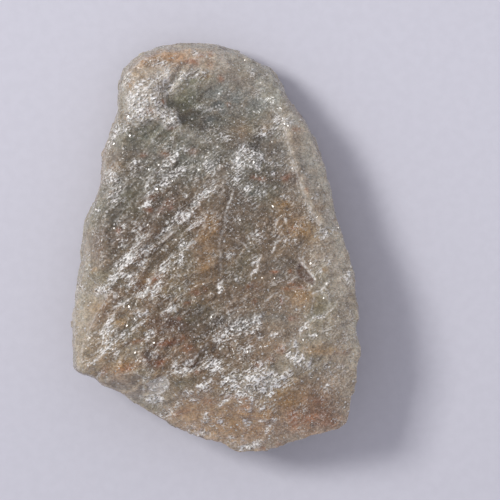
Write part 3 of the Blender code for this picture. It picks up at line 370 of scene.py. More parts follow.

# Stains and painted shade: (x, y, half width, half length, turn in degrees, strength)
STAINS = {
    "olive": (
        (-9.3, 13.6, 2.8, 1.3, 0, 0.9), (-10.8, 12.6, 1.6, 1.2, 0, 0.6), (-8.2, 14.7, 1.0, 0.6, 0, 0.7),
        (-3.7, 17.8, 1.7, 1.8, 0, 0.9), (-2.4, 20.4, 1.6, 0.5, 8, 0.9), (-14.7, 4.8, 0.9, 0.9, 0, 0.7),
        (-10.9, 6.4, 1.4, 0.8, 20, 0.8), (-9.7, 4.6, 1.2, 1.2, 0, 0.6), (-15.3, 3.4, 0.8, 1.2, 0, 0.5),
        (-14.0, -3.4, 1.0, 0.8, 0, 0.5), (12.3, -7.2, 0.8, 1.3, -10, 0.6), (-4.2, -16.2, 1.6, 0.7, 5, 0.6),
        (3.5, -1.4, 1.0, 0.6, 0, 0.3), (-3.3, -8.6, 0.6, 0.3, 0, 0.7), (-8.0, -19.2, 1.2, 0.5, -30, 0.6)),
    "green": (
        (1.0, 18.2, 3.2, 2.4, 0, 0.8), (5.0, 17.6, 2.4, 1.8, 0, 0.7), (7.6, 18.3, 1.8, 1.8, -40, 0.8),
        (-1.2, 15.6, 2.6, 0.8, -5, 0.8), (5.5, 21.0, 2.4, 1.6, -35, 0.65), (10.6, 11.0, 1.4, 2.6, 18, 0.5),
        (2.8, -9.4, 1.8, 1.0, 20, 0.8), (-0.5, 10.0, 0.9, 1.4, 15, 0.7), (7.0, -8.2, 1.6, 0.5, 0, 0.5),
        (-11.5, -10.2, 0.8, 0.6, 0, 0.6), (-9.0, 0.1, 1.4, 0.5, 25, 0.5), (4.0, 6.6, 1.2, 0.3, 10, 0.6),
        (7.5, -2.4, 0.9, 1.0, 0, 0.4), (-6.0, 12.0, 7.0, 4.0, 0, 0.5), (4.5, 12.0, 6.0, 5.0, 0, 0.4),
        (6.0, 19.5, 4.0, 3.0, -35, 0.6), (-14.0, 7.0, 2.5, 6.0, 0, 0.3)),
    "tan": (
        (-1.4, -2.2, 1.5, 3.2, 0, 0.65), (-1.4, 2.6, 1.5, 1.2, 0, 0.55), (10.8, -6.2, 1.6, 1.2, 0, 0.5),
        (9.3, 3.6, 1.6, 1.3, 0, 0.6), (-2.6, -19.6, 2.0, 1.4, 0, 0.8), (2.0, -20.8, 1.4, 1.2, 0, 0.8),
        (1.8, -22.2, 1.5, 0.9, 0, 0.7), (4.2, -22.4, 1.2, 0.8, 0, 0.6), (9.4, -17.5, 2.2, 1.4, 30, 0.7),
        (8.9, -18.8, 1.4, 0.8, 0, 0.7), (-11.5, -14.2, 1.8, 0.8, 15, 0.7), (13.4, -12.2, 2.6, 0.7, 0, 0.6),
        (9.8, 13.2, 0.9, 1.4, 20, 0.5), (3.0, 14.2, 0.9, 0.9, 0, 0.5), (15.6, -12.2, 1.4, 0.8, 0, 0.5),
        (-15.9, -13.6, 0.7, 1.0, 0, 0.5), (6.6, -11.6, 0.9, 0.7, 0, 0.4), (12.5, 5.0, 0.8, 1.6, 18, 0.5),
        (0.0, -20.5, 4.0, 2.6, 0, 0.5), (15.0, -14.0, 2.2, 4.0, 0, 0.4), (-14.0, -12.5, 3.0, 3.6, 0, 0.5),
        (0.0, -12.0, 5.0, 3.0, 0, 0.4), (-6.5, -11.5, 4.5, 3.5, 0, 0.35), (-7.0, -4.0, 4.0, 4.0, 0, 0.25)),
    "brown": (
        (-5.5, -9.0, 2.6, 1.6, 10, 0.7), (-9.8, -4.6, 1.2, 0.7, 35, 0.6), (-12.4, -5.7, 0.9, 0.8, 30, 0.5),
        (-13.8, -7.6, 0.7, 1.5, -35, 0.6), (-13.2, 1.0, 2.2, 1.7, 0, 0.5), (-9.0, 2.4, 1.3, 0.5, 10, 0.5),
        (-8.0, -13.2, 1.1, 0.9, 0, 0.9), (-6.5, -11.5, 1.6, 0.5, 10, 0.8), (-2.4, -13.9, 0.9, 0.5, 35, 0.8),
        (9.6, 8.7, 0.6, 0.8, 0, 0.7), (7.5, 8.6, 2.0, 0.7, 0, 0.5), (10.0, -4.4, 1.2, 0.5, 10, 0.5),
        (2.3, 20.7, 1.1, 0.6, -25, 0.5), (1.6, 21.6, 1.2, 0.9, 0, 0.4), (-5.0, 22.3, 1.0, 0.7, 0, 0.6),
        (-10.3, 9.7, 1.0, 0.5, 10, 0.5), (-11.0, 11.3, 1.8, 1.0, 15, 0.4), (14.2, -20.4, 2.6, 1.6, 0, 0.7),
        (8.3, -22.6, 2.4, 1.1, 15, 0.6), (4.4, -4.7, 0.8, 0.5, 0, 0.5), (14.0, -18.6, 2.2, 0.8, 0, 0.6),
        (-6.6, -6.6, 2.2, 1.0, 0, 0.4), (-15.0, 0.7, 0.8, 1.0, 0, 0.4), (13.0, -20.5, 3.5, 2.2, 0, 0.85),
        (6.5, -21.0, 3.0, 2.0, 10, 0.4), (-9.0, 0.0, 4.0, 6.0, 0, 0.3), (0.0, -11.5, 3.4, 3.0, 0, 0.4)),
    "rust": (
        (-8.2, 23.4, 0.9, 0.45, 20, 0.3), (-4.9, 23.4, 1.3, 0.5, 8, 0.5), (-6.6, 23.6, 1.3, 0.35, 12, 0.3),
        (-3.1, 22.7, 0.8, 0.35, -10, 0.9), (-1.9, 23.5, 0.45, 0.25, 0, 1.0),
        (-0.8, 23.7, 0.4, 0.25, 0, 0.7), (-0.9, 22.4, 0.35, 0.7, 0, 0.4), (-9.2, 23.0, 0.7, 0.4, 35, 0.4),
        (0.45, 20.7, 0.3, 0.35, 30, 0.7), (-8.3, 16.6, 0.5, 0.35, 0, 0.45), (-6.6, 17.8, 0.2, 0.3, 0, 0.8),
        (-5.6, 14.7, 0.5, 0.25, 0, 0.5), (9.9, 14.5, 0.7, 0.25, -10, 0.7), (-6.4, 11.4, 0.5, 0.3, 0, 0.4),
        (-2.9, 11.8, 0.5, 0.35, 0, 0.4), (1.4, 17.55, 0.15, 0.15, 0, 0.8), (-8.3, 4.7, 0.4, 0.25, 0, 0.8),
        (-8.0, 6.0, 1.0, 0.35, 25, 0.45), (-6.4, 5.2, 0.9, 0.4, 35, 0.6), (-5.7, 4.9, 0.3, 0.25, 0, 0.9),
        (-4.3, 3.9, 0.35, 0.3, 0, 0.6), (-12.0, 2.2, 0.2, 0.25, 0, 0.9), (-7.4, -3.6, 0.45, 0.2, 30, 0.8),
        (-4.6, -8.5, 0.2, 0.15, 0, 1.0), (-3.5, -6.6, 0.4, 0.2, 20, 0.7), (-2.6, -5.4, 0.45, 0.25, 0, 0.7),
        (-1.4, -5.0, 0.2, 0.3, 0, 0.6), (-9.0, 11.3, 0.4, 0.2, 0, 0.5), (4.5, 8.6, 0.35, 0.2, 0, 0.7),
        (5.4, 8.4, 0.4, 0.2, 0, 0.7), (8.5, 8.6, 0.4, 0.25, 30, 0.8), (7.0, -2.85, 0.4, 0.13, 5, 1.0),
        (8.9, -2.75, 0.2, 0.15, 0, 0.8), (9.2, -4.3, 0.4, 0.15, 0, 0.6), (10.2, -4.75, 0.5, 0.15, 0, 0.6),
        (8.6, -4.9, 0.5, 0.15, 0, 0.5), (7.9, -6.4, 0.12, 0.25, 0, 1.0), (9.0, -8.5, 0.25, 0.2, 0, 0.8),
        (9.6, -8.4, 0.2, 0.2, 0, 0.5), (14.4, 3.6, 0.3, 0.25, 0, 0.8), (11.0, 7.2, 0.2, 0.2, 0, 0.5),
        (8.8, 1.9, 0.12, 0.1, 0, 0.9), (9.4, 2.5, 0.4, 0.2, 0, 0.4), (4.6, -6.4, 0.2, 0.25, 0, 0.6),
        (4.0, -4.5, 0.5, 0.2, 30, 0.4), (-7.0, -13.9, 0.5, 0.3, 30, 1.0), (-3.5, -12.1, 0.5, 0.4, 0, 0.6),
        (-4.2, -11.0, 0.9, 0.3, 20, 0.5), (-5.6, -11.4, 1.2, 0.25, 10, 0.6),
        (-9.7, -11.2, 0.9, 0.2, 15, 0.5), (-10.9, -14.5, 1.2, 0.4, 25, 0.6),
        (-13.8, -14.9, 0.3, 0.5, -40, 0.7), (7.8, -12.2, 0.4, 0.35, 0, 0.8), (6.7, -13.4, 0.5, 0.3, 0, 0.5),
        (5.2, -14.0, 0.6, 0.25, 30, 0.5), (-2.3, -14.9, 0.4, 0.2, 0, 0.6), (9.3, -20.3, 0.5, 0.5, 0, 0.8),
        (9.5, -21.3, 0.5, 0.7, 0, 0.7), (11.6, -20.6, 1.6, 0.5, 15, 0.65), (13.6, -21.2, 2.0, 0.6, 10, 0.6),
        (12.2, -22.3, 1.2, 0.3, 15, 0.6), (13.3, -22.0, 0.5, 0.4, 0, 0.7), (12.4, -18.4, 0.7, 0.3, 0, 0.5),
        (15.2, -12.6, 0.6, 0.2, 0, 0.5), (5.6, -24.3, 0.3, 0.15, 25, 1.0), (7.5, -23.8, 0.25, 0.3, 0, 0.6),
        (6.7, -24.4, 0.3, 0.1, 0, 0.7), (1.6, -17.9, 0.6, 0.2, 10, 0.4), (3.2, -18.2, 0.9, 0.15, 0, 0.5),
        (3.5, -19.2, 0.6, 0.3, 30, 0.4), (-1.0, -18.5, 0.6, 0.3, 0, 0.4), (-4.5, -19.9, 1.0, 0.3, 20, 0.4)),
    "ochre": (
        (8.4, 5.4, 0.5, 0.3, 0, 1.0), (8.0, 5.2, 1.0, 0.6, 0, 0.6), (10.4, 2.2, 1.6, 0.7, -10, 0.7),
        (11.8, 1.4, 0.9, 0.6, 0, 0.5), (-1.4, 1.4, 0.6, 0.4, 0, 0.4), (-0.7, 3.6, 0.5, 0.4, 0, 0.4),
        (-0.4, 2.6, 0.3, 0.8, 0, 0.4), (-1.2, -2.5, 0.4, 0.5, 0, 0.4), (-14.9, -7.1, 1.1, 0.8, 10, 0.4),
        (-15.0, -2.6, 0.3, 0.25, 0, 0.6), (-8.4, -3.7, 0.7, 0.2, 38, 0.7), (-11.8, -9.0, 0.5, 0.35, 0, 0.6),
        (13.2, -2.55, 0.3, 0.18, 0, 1.0), (11.5, -5.4, 0.3, 0.2, 0, 0.8), (10.0, -5.6, 1.0, 0.7, 0, 0.5),
        (12.7, 5.0, 0.5, 0.2, 0, 0.4), (-9.5, 20.9, 0.8, 0.5, 0, 0.5), (-10.6, 19.8, 0.6, 0.6, 0, 0.5),
        (-12.3, 9.8, 0.9, 0.4, 0, 0.5), (-1.3, 22.3, 0.6, 0.5, 0, 0.4), (-1.3, 20.9, 0.5, 0.3, 0, 0.5),
        (5.8, 14.4, 0.5, 0.3, 0, 0.5), (-11.6, -14.3, 1.4, 0.6, 15, 0.6), (5.6, -20.1, 1.0, 0.5, 10, 0.6),
        (8.8, -18.7, 1.2, 0.5, 0, 0.5), (7.8, -17.3, 0.9, 0.5, 30, 0.4), (12.8, -12.4, 1.4, 0.4, 0, 0.4),
        (-7.6, -15.4, 0.3, 0.3, 0, 0.6), (0.5, -16.7, 0.8, 0.2, 0, 0.5), (-15.2, -15.1, 0.6, 0.3, 0, 0.5),
        (-6.0, 23.5, 3.2, 0.8, 10, 0.7), (1.0, -21.0, 4.0, 1.6, 0, 0.3)),
    "peach": (
        (1.5, -21.5, 6.0, 2.4, 0, 0.65), (12.0, -20.2, 4.0, 2.4, 10, 0.7), (-6.0, 23.4, 3.4, 0.9, 10, 0.7)),
    # pale: partly paler stone, partly painted light along the rims where light would shine through
    "pale": (
        (-16.6, -6.0, 0.5, 2.0, -8, 0.7), (-16.2, -3.0, 0.6, 1.6, -6, 0.6), (-15.8, 0.2, 0.5, 1.6, 0, 0.55),
        (-15.6, 2.6, 0.4, 1.2, 10, 0.5), (-13.7, 8.6, 0.5, 1.6, 15, 0.5), (-6.0, 24.5, 1.6, 0.4, 5, 0.7),
        (-2.0, 24.5, 2.6, 0.4, -2, 0.7), (2.2, 23.6, 2.0, 0.6, -22, 0.6), (5.0, 22.0, 1.6, 0.5, -35, 0.2),
        (-10.8, 22.0, 1.2, 0.5, 48, 0.6), (-11.8, 20.0, 0.3, 1.5, 5, 0.5), (-7.2, 17.2, 1.0, 1.6, 0, 0.6),
        (-5.4, 16.0, 0.6, 1.0, 10, 0.5), (9.6, 15.4, 1.0, 0.6, 0, 0.6), (12.9, 9.0, 0.3, 3.0, 12, 0.6),
        (13.8, 5.2, 0.4, 2.0, 15, 0.5), (-9.8, -12.6, 0.8, 0.8, 0, 0.6), (-0.8, 9.6, 0.4, 1.1, 20, 0.5),
        (-3.3, 13.8, 1.8, 0.5, -22, 0.5), (-1.0, 12.8, 1.2, 0.5, -20, 0.4), (2.6, 10.6, 0.8, 1.5, 0, 0.4),
        (16.2, -3.4, 0.5, 1.6, 0, 0.6), (16.3, -6.2, 0.5, 1.2, 0, 0.45), (15.9, -10.4, 0.4, 0.9, 10, 0.5),
        (13.2, -14.4, 0.9, 0.7, 0, 0.4), (-12.4, 7.1, 1.0, 0.4, 28, 0.5), (-5.5, 22.6, 5.0, 2.4, 0, 0.4),
        (2.5, 22.2, 4.0, 1.8, -30, 0.4), (-9.6, 18.6, 2.4, 3.6, 0, 0.4), (12.0, 8.5, 2.2, 5.0, 16, 0.45),
        (14.8, -2.5, 2.4, 5.0, 0, 0.6), (15.0, -14.0, 2.6, 6.0, 0, 0.65), (-9.0, -17.8, 4.0, 1.6, -35, 0.6),
        (1.0, -21.5, 6.0, 2.6, 0, 0.95), (5.0, -16.0, 5.0, 1.6, 15, 0.4), (-15.6, -8.0, 1.8, 6.0, 0, 0.3),
        (11.5, 11.5, 2.5, 4.0, 25, 0.9), (-5.5, 19.6, 0.9, 1.3, 0, 0.9), (-5.0, 22.0, 5.2, 2.6, 6, 1.0),
        (0.3, 22.2, 3.2, 2.4, -15, 1.0), (10.5, -12.5, 3.6, 5.0, 0, 0.45),
        (6.6, -19.6, 4.0, 2.0, 10, 0.25)),
    # shade: painted shade in hollows, below steps and over the darker middle
    "shade": (
        (-4.7, 16.1, 0.25, 0.9, 15, 0.9), (-3.4, 15.6, 1.0, 0.5, -15, 0.8), (-1.5, 15.9, 1.6, 0.5, 0, 0.6),
        (0.3, 15.7, 0.7, 0.4, 0, 0.6), (-1.6, 14.7, 2.0, 0.5, -12, 0.7), (-5.6, 17.3, 0.3, 0.4, 0, 0.4),
        (4.6, 12.4, 1.0, 0.6, 0, 0.9), (5.0, 13.4, 1.5, 0.5, 10, 0.6), (7.5, 11.6, 1.2, 0.9, 0, 0.6),
        (7.4, 10.2, 0.9, 0.3, 0, 0.6), (0.4, 10.5, 0.8, 0.4, -25, 0.5), (4.6, 17.6, 0.9, 0.4, -10, 0.5),
        (8.6, 4.85, 0.3, 0.15, -25, 1.0), (-9.6, 9.1, 1.4, 0.6, 5, 0.5), (1.6, 2.6, 0.7, 2.0, -5, 0.5),
        (1.0, 0.6, 0.5, 1.0, 0, 0.4), (2.6, 0.3, 0.9, 0.4, -40, 0.6), (3.5, 5.4, 1.3, 0.5, 5, 0.55),
        (8.8, -1.5, 1.2, 0.8, -20, 0.4), (5.8, -2.2, 0.9, 0.9, 0, 0.35), (0.1, -8.8, 1.5, 0.9, 0, 0.9),
        (-1.2, -9.4, 0.9, 0.5, 0, 0.7), (-2.0, -7.3, 0.7, 1.0, -25, 0.6), (-1.5, -5.8, 0.7, 0.7, 0, 0.4),
        (-0.5, -12.3, 0.4, 1.2, -35, 0.8), (-7.4, -0.9, 1.1, 0.5, 10, 0.5), (5.2, -10.2, 0.5, 0.4, 0, 0.7),
        (3.4, -13.4, 0.8, 0.5, 30, 0.6), (1.4, -13.2, 1.0, 0.5, 0, 0.4), (0.6, -11.8, 0.8, 0.4, 0, 0.5),
        (-8.3, -12.8, 0.5, 0.9, 0, 0.7), (-4.9, -11.6, 0.5, 0.3, 0, 0.6), (6.8, -14.2, 0.4, 0.3, 0, 0.6),
        (8.6, -10.5, 0.6, 0.4, 0, 0.5), (5.0, -6.5, 0.5, 0.4, 0, 0.5), (-5.2, 5.9, 1.0, 0.5, 20, 0.5),
        (-3.4, 8.3, 1.2, 0.7, 20, 0.4), (-2.7, -14.3, 0.9, 0.35, 38, 0.6), (3.6, -20.6, 0.8, 0.25, 0, 0.5),
        (11.7, -21.4, 0.6, 0.3, 0, 0.5), (-6.0, 7.6, 5.0, 2.6, 25, 0.35), (-12.0, 5.5, 2.2, 3.0, 20, 0.3),
        (-6.0, 0.0, 4.0, 3.0, 35, 0.25), (2.2, 3.0, 3.0, 4.0, 0, 0.35), (-2.5, -9.5, 5.0, 3.0, 0, 0.4),
        (-7.0, 4.5, 4.5, 4.0, 0, 0.58), (4.0, 5.5, 5.0, 5.0, 0, 0.35), (6.0, 11.5, 3.5, 2.2, 0, 0.25),
        (-10.5, 5.0, 5.0, 6.5, 0, 0.4), (0.5, 12.0, 3.5, 3.5, 0, 0.35), (0.0, -4.0, 4.0, 4.0, 0, 0.3),
        (-3.0, -13.0, 7.0, 3.0, 0, 0.3)),
}

# Sharp-edged facets: (what they are made of, painted shade and reflection among it, with the strength of the
# painted highlight round their edge, and their outline)
PANELS = (
    ({"pale": 0.75, "frost": 0.3, "edge": 0.6}, (
        (-6.14, 21.7), (-6.75, 21.5), (-8.0, 20.9), (-9.8, 20.3), (-11.1, 18.5), (-10.4, 16.4),
        (-8.88, 15.15), (-7.66, 15.75), (-6.14, 14.5), (-4.44, 15.15), (-4.93, 16.06), (-5.41, 16.7),
        (-6.02, 17.0), (-6.45, 17.9), (-6.3, 18.6), (-6.63, 19.1), (-6.2, 19.9), (-6.02, 20.9))),
    ({"pale": 0.65, "olive": 0.25, "calm": 0.9, "edge": 0.5}, (
        (-13.3, -5.6), (-14.0, -7.0), (-14.8, -8.0), (-15.2, -9.0), (-15.8, -10.2), (-16.4, -12.0),
        (-16.8, -14.6), (-18.5, -14.6), (-18.5, -5.4), (-16.0, -5.4))),
    ({"pale": 0.6, "green": 0.25, "calm": 0.85, "edge": 0.6}, (
        (8.3, 15.6), (8.2, 15.0), (8.6, 13.0), (9.2, 11.0), (9.8, 9.0), (10.6, 6.6), (11.6, 4.6),
        (12.2, 3.4), (13.0, 2.8), (13.9, 2.3), (15.4, 2.0), (16.0, 8.0), (11.5, 16.5), (9.0, 16.1))),
    ({"brown": 0.4, "calm": 0.9, "edge": 0.4}, (
        (-9.0, -15.6), (-10.0, -15.0), (-13.2, -15.5), (-14.0, -16.4), (-9.6, -18.6), (-9.0, -17.5))),
    ({"brown": 0.75, "shade": 0.25, "calm": 0.9, "edge": 0.3}, (
        (10.1, -1.6), (9.6, -2.4), (9.7, -3.3), (11.6, -4.5), (12.05, -4.2), (11.9, -3.6), (10.9, -2.5))),
    ({"olive": 0.5, "calm": 0.9, "edge": 0.4}, (
        (11.9, -5.7), (11.7, -6.8), (11.6, -8.0), (12.4, -8.1), (13.3, -7.6), (13.8, -6.6), (13.0, -5.4))),
    # this facet also gets a painted reflection
    ({"pale": 0.8, "calm": 0.5, "mirror": 0.3, "frost": 0.5, "edge": 0.9}, (
        (-6.2, -15.5), (-7.3, -15.7), (-8.4, -16.3), (-8.2, -17.2), (-7.2, -17.7), (-6.2, -17.2),
        (-5.8, -16.3))),
    ({"shade": 0.55, "olive": 0.5, "calm": 0.8}, (
        (-5.9, 17.0), (-5.0, 16.9), (-4.6, 15.6), (-4.1, 15.05), (-2.4, 15.1), (-2.0, 16.4), (-3.4, 17.6),
        (-5.4, 18.2))),
)
PANEL_EDGE = 0.12

# Marks of the sides and underside, in clouds: (wavelength, least and full cloud, strength)
SIDE_MARKS = {
    "frost": (2.2, 0.1, 0.4, 0.28),
    "pale": (7.0, 0.0, 0.4, 0.4),
    "olive": (6.0, 0.05, 0.3, 0.6),
    "tan": (5.0, 0.1, 0.35, 0.6),
    "brown": (4.0, 0.1, 0.35, 0.5),
    "rust": (1.6, 0.3, 0.5, 0.4),
}
CLOUD_OFFSET = 10.0  # between the noises of those clouds, for each letter of their names

CREST_HEIGHT = 0.32
CREST_WIDTH = 0.16
CREST_REACH = 0.7
CREST_TAPER = 0.3  # how far from its ends a crest has its full height
HIGHLIGHT_WIDTH = 0.11  # half the width of the painted highlight line on a crest or round a panel
STAIN_SPREAD = 1.3  # how much wider the stains are than their ovals
RIM_LIGHT_REACH = 2.2  # how far in from the outline the rim is paler, with painted light shining through it
NEAR_RIM = 0.55  # how much paler it is where it shows least
RIM_CHANGE = 14.0  # half the width of the change to where it shows most
PALER_TOWARDS = (0.9, 0.3)  # away from the lamp and to the thin end, where more light comes through

FLAKES_EVERYWHERE = 0.3  # against 1 more where the stone is all frost
FLAKES_ABOVE = 0.5  # none lower than this, so that the stone still lies flat
FLAKE_TAPER = 0.85
FLAKE_NARROWED = (0.55, 1.0)
FLAKE_BATCH = 100  # flakes made together, because adding to a small mesh is quick


class StoneSettings(bpy.types.PropertyGroup):
    """What a user would change about the stone."""

    voxel: FloatProperty(
        name="Voxel", description="Edge of the voxels that the fine surface starts from",
        default=0.17 * MM, min=0.1 * MM, unit="LENGTH", precision=5)
    triangles: IntProperty(
        name="Triangles", description="What the finished surface may have", default=190000, min=10000)
    quartz_colour: FloatVectorProperty(
        name="Quartz", description="The stone's main colour", subtype="COLOR", size=4,
        default=(0.247, 0.171, 0.102, 1.0))
    green_colour: FloatVectorProperty(
        name="Green quartz", description="Colour of the greener parts", subtype="COLOR", size=4,
        default=(0.20, 0.183, 0.11, 1.0))
    # also the colour of the painted highlights and glints on the stone
    frost_and_highlight_colour: FloatVectorProperty(
        name="Frost", description="Colour of crushed crests and of the thickest mica", subtype="COLOR",
        size=4, default=(0.90, 0.87, 0.82, 1.0))


class FlakeSettings(bpy.types.PropertyGroup):
    """What a user would change about the mica flakes."""

    count: IntProperty(name="Count", description="Number of flakes", default=4000, min=0)
    smallest: FloatProperty(
        name="Smallest", description="Radius of the smallest flakes", default=0.06 * MM, unit="LENGTH",
        precision=5)
    largest: FloatProperty(
        name="Largest", description="Radius of the largest flakes", default=0.2 * MM, unit="LENGTH",
        precision=5)
    thickness: FloatProperty(
        name="Thickness", description="Thickness of a flake", default=0.03 * MM, unit="LENGTH", precision=5)
    lean: FloatProperty(
        name="Lean", description="How far most flakes lean from the surface", default=math.radians(20),
        subtype="ANGLE")
    seed: IntProperty(name="Seed", description="Another seed scatters them anew", default=11)


class StageSettings(bpy.types.PropertyGroup):
    """What a user would change about the sheet, the light and the camera."""

    paper_colour: FloatVectorProperty(
        name="Sheet", description="Colour of the sheet under the stone", subtype="COLOR", size=4,
        default=(0.672, 0.66, 0.715, 1.0))
    ambient_colour: FloatVectorProperty(
        name="Ambient", description="Light from all around", subtype="COLOR", size=3,
        default=(0.50, 0.50, 0.56))
    lamp_power: FloatProperty(
        name="Lamp power", description="Power of the soft lamp", default=8.5, unit="POWER")
    lamp_width: FloatProperty(
        name="Lamp width", description="Width of the soft lamp", default=0.37, unit="LENGTH")
    lamp_distance: FloatProperty(
        name="Lamp distance", description="From the stone to the lamp", default=1.2, unit="LENGTH")
    lamp_elevation: FloatProperty(
        name="Lamp elevation", description="Height of the lamp above the sheet, as an angle",
        default=math.radians(47), subtype="ANGLE")
    lamp_bearing: FloatProperty(
        name="Lamp bearing", description="Side that the lamp stands on, from +X",
        default=math.radians(157.5), subtype="ANGLE")
    view_width: FloatProperty(
        name="View width", description="Width of the sheet that the camera sees",
        default=60.8 * MM, unit="LENGTH")
    view_centre: FloatVectorProperty(
        name="View centre", description="Where the camera looks", subtype="XYZ_LENGTH", size=2,
        default=(4.2 * MM, -0.37 * MM))
    lens: FloatProperty(name="Lens", description="Focal length in millimetres", default=500.0)


def wedge_height(y):
    return THICK_END + FALL * (THICK_END_Y - y)


def steps_between(low, high, value):
    share = np.clip((value - low) / (high - low), 0.0, 1.0)
    return share * share * (3 - 2 * share)


def girdle_height(x, y):
    towards = np.multiply(x, HIGH_SIDE[0]) + np.multiply(y, HIGH_SIDE[1])
    rise = steps_between(-GIRDLE_RISE, GIRDLE_RISE, towards)
    return wedge_height(y) * (LOW_GIRDLE + (HIGH_GIRDLE - LOW_GIRDLE) * rise)


def lofted_blank():
    """The outline, extruded up through PROFILE, with heights that follow the wedge."""
    bm = bmesh.new()
    ring = bm.faces.new([bm.verts.new((x, y, 0.0)) for x, y in OUTLINE])
    underside = ring.verts[:]
    about_centre = Matrix.Translation((-OUTLINE_CENTRE[0], -OUTLINE_CENTRE[1], 0.0))
    below, width_below = PROFILE[0]
    bmesh.ops.scale(bm, vec=(width_below, width_below, 1.0), verts=underside, space=about_centre)
    for level, width in PROFILE[1:]:
        ring, = bmesh.ops.extrude_discrete_faces(bm, faces=[ring])["faces"]
        wider = width / width_below
        bmesh.ops.translate(bm, vec=(0.0, 0.0, level - below), verts=ring.verts)
        bmesh.ops.scale(bm, vec=(wider, wider, 1.0), verts=ring.verts, space=about_centre)
        below, width_below = level, width
    bm.faces.new(underside)
    for vert in bm.verts:
        girdle = girdle_height(vert.co.x, vert.co.y)
        above = max(vert.co.z - 1.0, 0.0)
        vert.co.z = girdle * min(vert.co.z, 1.0) + (wedge_height(vert.co.y) - girdle) * above
    bmesh.ops.triangulate(bm, faces=bm.faces)
    bmesh.ops.recalc_face_normals(bm, faces=bm.faces)
    return bm


def break_off(bm, point, outward):
    """Removes what lies outside the plane, and closes the stone with a flat facet."""
    geom = bm.verts[:] + bm.edges[:] + bm.faces[:]
    cut = bmesh.ops.bisect_plane(bm, geom=geom, plane_co=point, plane_no=outward, clear_outer=True)
    rim = [item for item in cut["geom_cut"] if isinstance(item, bmesh.types.BMEdge)]
    bmesh.ops.holes_fill(bm, edges=rim)


def upper_planes():
    """(point, outward direction) of each flat facet of the upper half."""
    crest = Vector((CREST_X, THICK_END_Y, THICK_END))
    planes = [(crest, Vector((side * SIDE_FALL, FALL, 1.0))) for side in (-1, 1)]
    for corners in UPPER_FACETS.values():
        a, b, c = (Vector(corner) for corner in corners)
        outward = (b - a).cross(c - a)
        planes.append((a, outward if outward.z > 0 else -outward))
    return planes


def chip_underside(bm):
    """Breaks facets off the underside, each from below the girdle so that the outline stays."""
    for bearing, dip, level in UNDER_CHIPS:
        toward = Matrix.Rotation(math.radians(bearing), 3, "Z") @ Vector((1.0, 0.0, 0.0))
        x, y = max(OUTLINE, key=lambda place: toward.xy.dot(Vector(place)))
        start = Vector((x, y, level * girdle_height(x, y)))
        break_off(bm, start, toward * math.cos(math.radians(dip)) - UP * math.sin(math.radians(dip)))


def across_line(places, line):
    """Each place's distance from the line, positive on its left, and how far along it that is."""
    line = np.array(line)
    nearest = np.full(len(places), np.inf)
    side = np.zeros(len(places))
    travelled = np.zeros(len(places))
    before = 0.0
    for start, end in zip(line[:-1], line[1:]):
        run = end - start
        length = math.hypot(*run)
        offset = places - start
        along = np.clip(offset @ run / length**2, 0.0, 1.0)
        gap = np.hypot(*(offset - along[:, None] * run).T)
        closer = gap < nearest
        nearest[closer] = gap[closer]
        side[closer] = np.sign(run[0] * offset[closer, 1] - run[1] * offset[closer, 0])
        travelled[closer] = before + along[closer] * length
        before += length
    return side * nearest, travelled, before


def ledge(places, height, width, reach, line):
    """A step along line that dies away from it on both sides and towards its ends."""
    gap, travelled, length = across_line(places, line)
    to_end = np.minimum(travelled, length - travelled)
    fade = steps_between(-width, min(reach, length / 2), to_end)
    return 0.5 * height * fade * np.tanh(gap / width) * np.exp(-np.abs(gap) / reach)


def bevel(places, fall, line):
    gap = across_line(places, line)[0]
    return fall * np.minimum(gap, 0.0)


def swell(places, x, y, half_width, half_length, height):
    out = ((places[:, 0] - x) / half_width) ** 2 + ((places[:, 1] - y) / half_length) ** 2
    return height * np.exp(-out)


def along_ribs(places):
    """The places turned to run along the ribs and across them."""
    turn = np.array([
        (math.cos(RIB_ANGLE), -math.sin(RIB_ANGLE)),
        (math.sin(RIB_ANGLE), math.cos(RIB_ANGLE)),
    ])
    return (places @ turn).T


def ribs(places):
    """Height of the slanting ribs, which wander, come and go, and are stronger on the left half."""
    ahead, across = along_ribs(places)
    ahead, across = ahead / RIB_LENGTH, across / RIB_SPACING
    wander = np.array([noise.noise((u, v / 2, 1.7)) for u, v in zip(ahead, across)])
    strength = np.array([0.5 + noise.noise((u, v / 2, 8.1)) for u, v in zip(ahead, across)])
    phase = (across + RIB_WANDER * wander) % 1.0
    climb = np.minimum(phase / (1.0 - RISER_SHARE), (1.0 - phase) / RISER_SHARE)
    half = CALM_SHARE + (1.0 - CALM_SHARE) * steps_between(CALM_EDGE, -CALM_EDGE, places[:, 0])
    return RIB_HEIGHT * half * np.clip(strength, 0.0, 1.0) * climb


def relief(places):
    """How far the upper face stands above its facets at each (x, y)."""
    total = ribs(places)
    for settings in LEDGES.values():
        total += ledge(places, *settings)
    for settings in SWELLS.values():
        total += swell(places, *settings)
    for settings in BEVELS.values():
        total += bevel(places, *settings)
    return total


def share_above_girdle(points):
    """0 at the girdle and below, 1 on the upper face, so that the sides follow the relief."""
    places = points[:, :2]
    top = np.min([
        point.z - (places - np.array(point.xy)) @ np.array(outward.xy) / outward.z
        for point, outward in upper_planes()
    ], axis=0)
    girdle = girdle_height(*places.T)
    return np.clip((points[:, 2] - girdle) / np.maximum(top - girdle, 1.0), 0.0, 1.0)


def noise_at(points, layers):
    """Noise of several (wavelength, height) layers at each point."""
    return np.array([
        sum(height * noise.noise(point / wave) for wave, height in layers)
        for point in map(Vector, points)
    ])


def facets_at(points, size, steepness):
    """Height of grains of that size, each broken to a flat facet that leans its own way."""
    heights = []
    for point in map(Vector, points / size):
        centre = noise.voronoi(point)[1][0]
        lean = noise.cell_vector(centre * LEAN_SHUFFLE) - Vector((0.5, 0.5, 0.5))
        heights.append((point - centre).dot(lean))
    return steepness * size * 2 * np.array(heights)


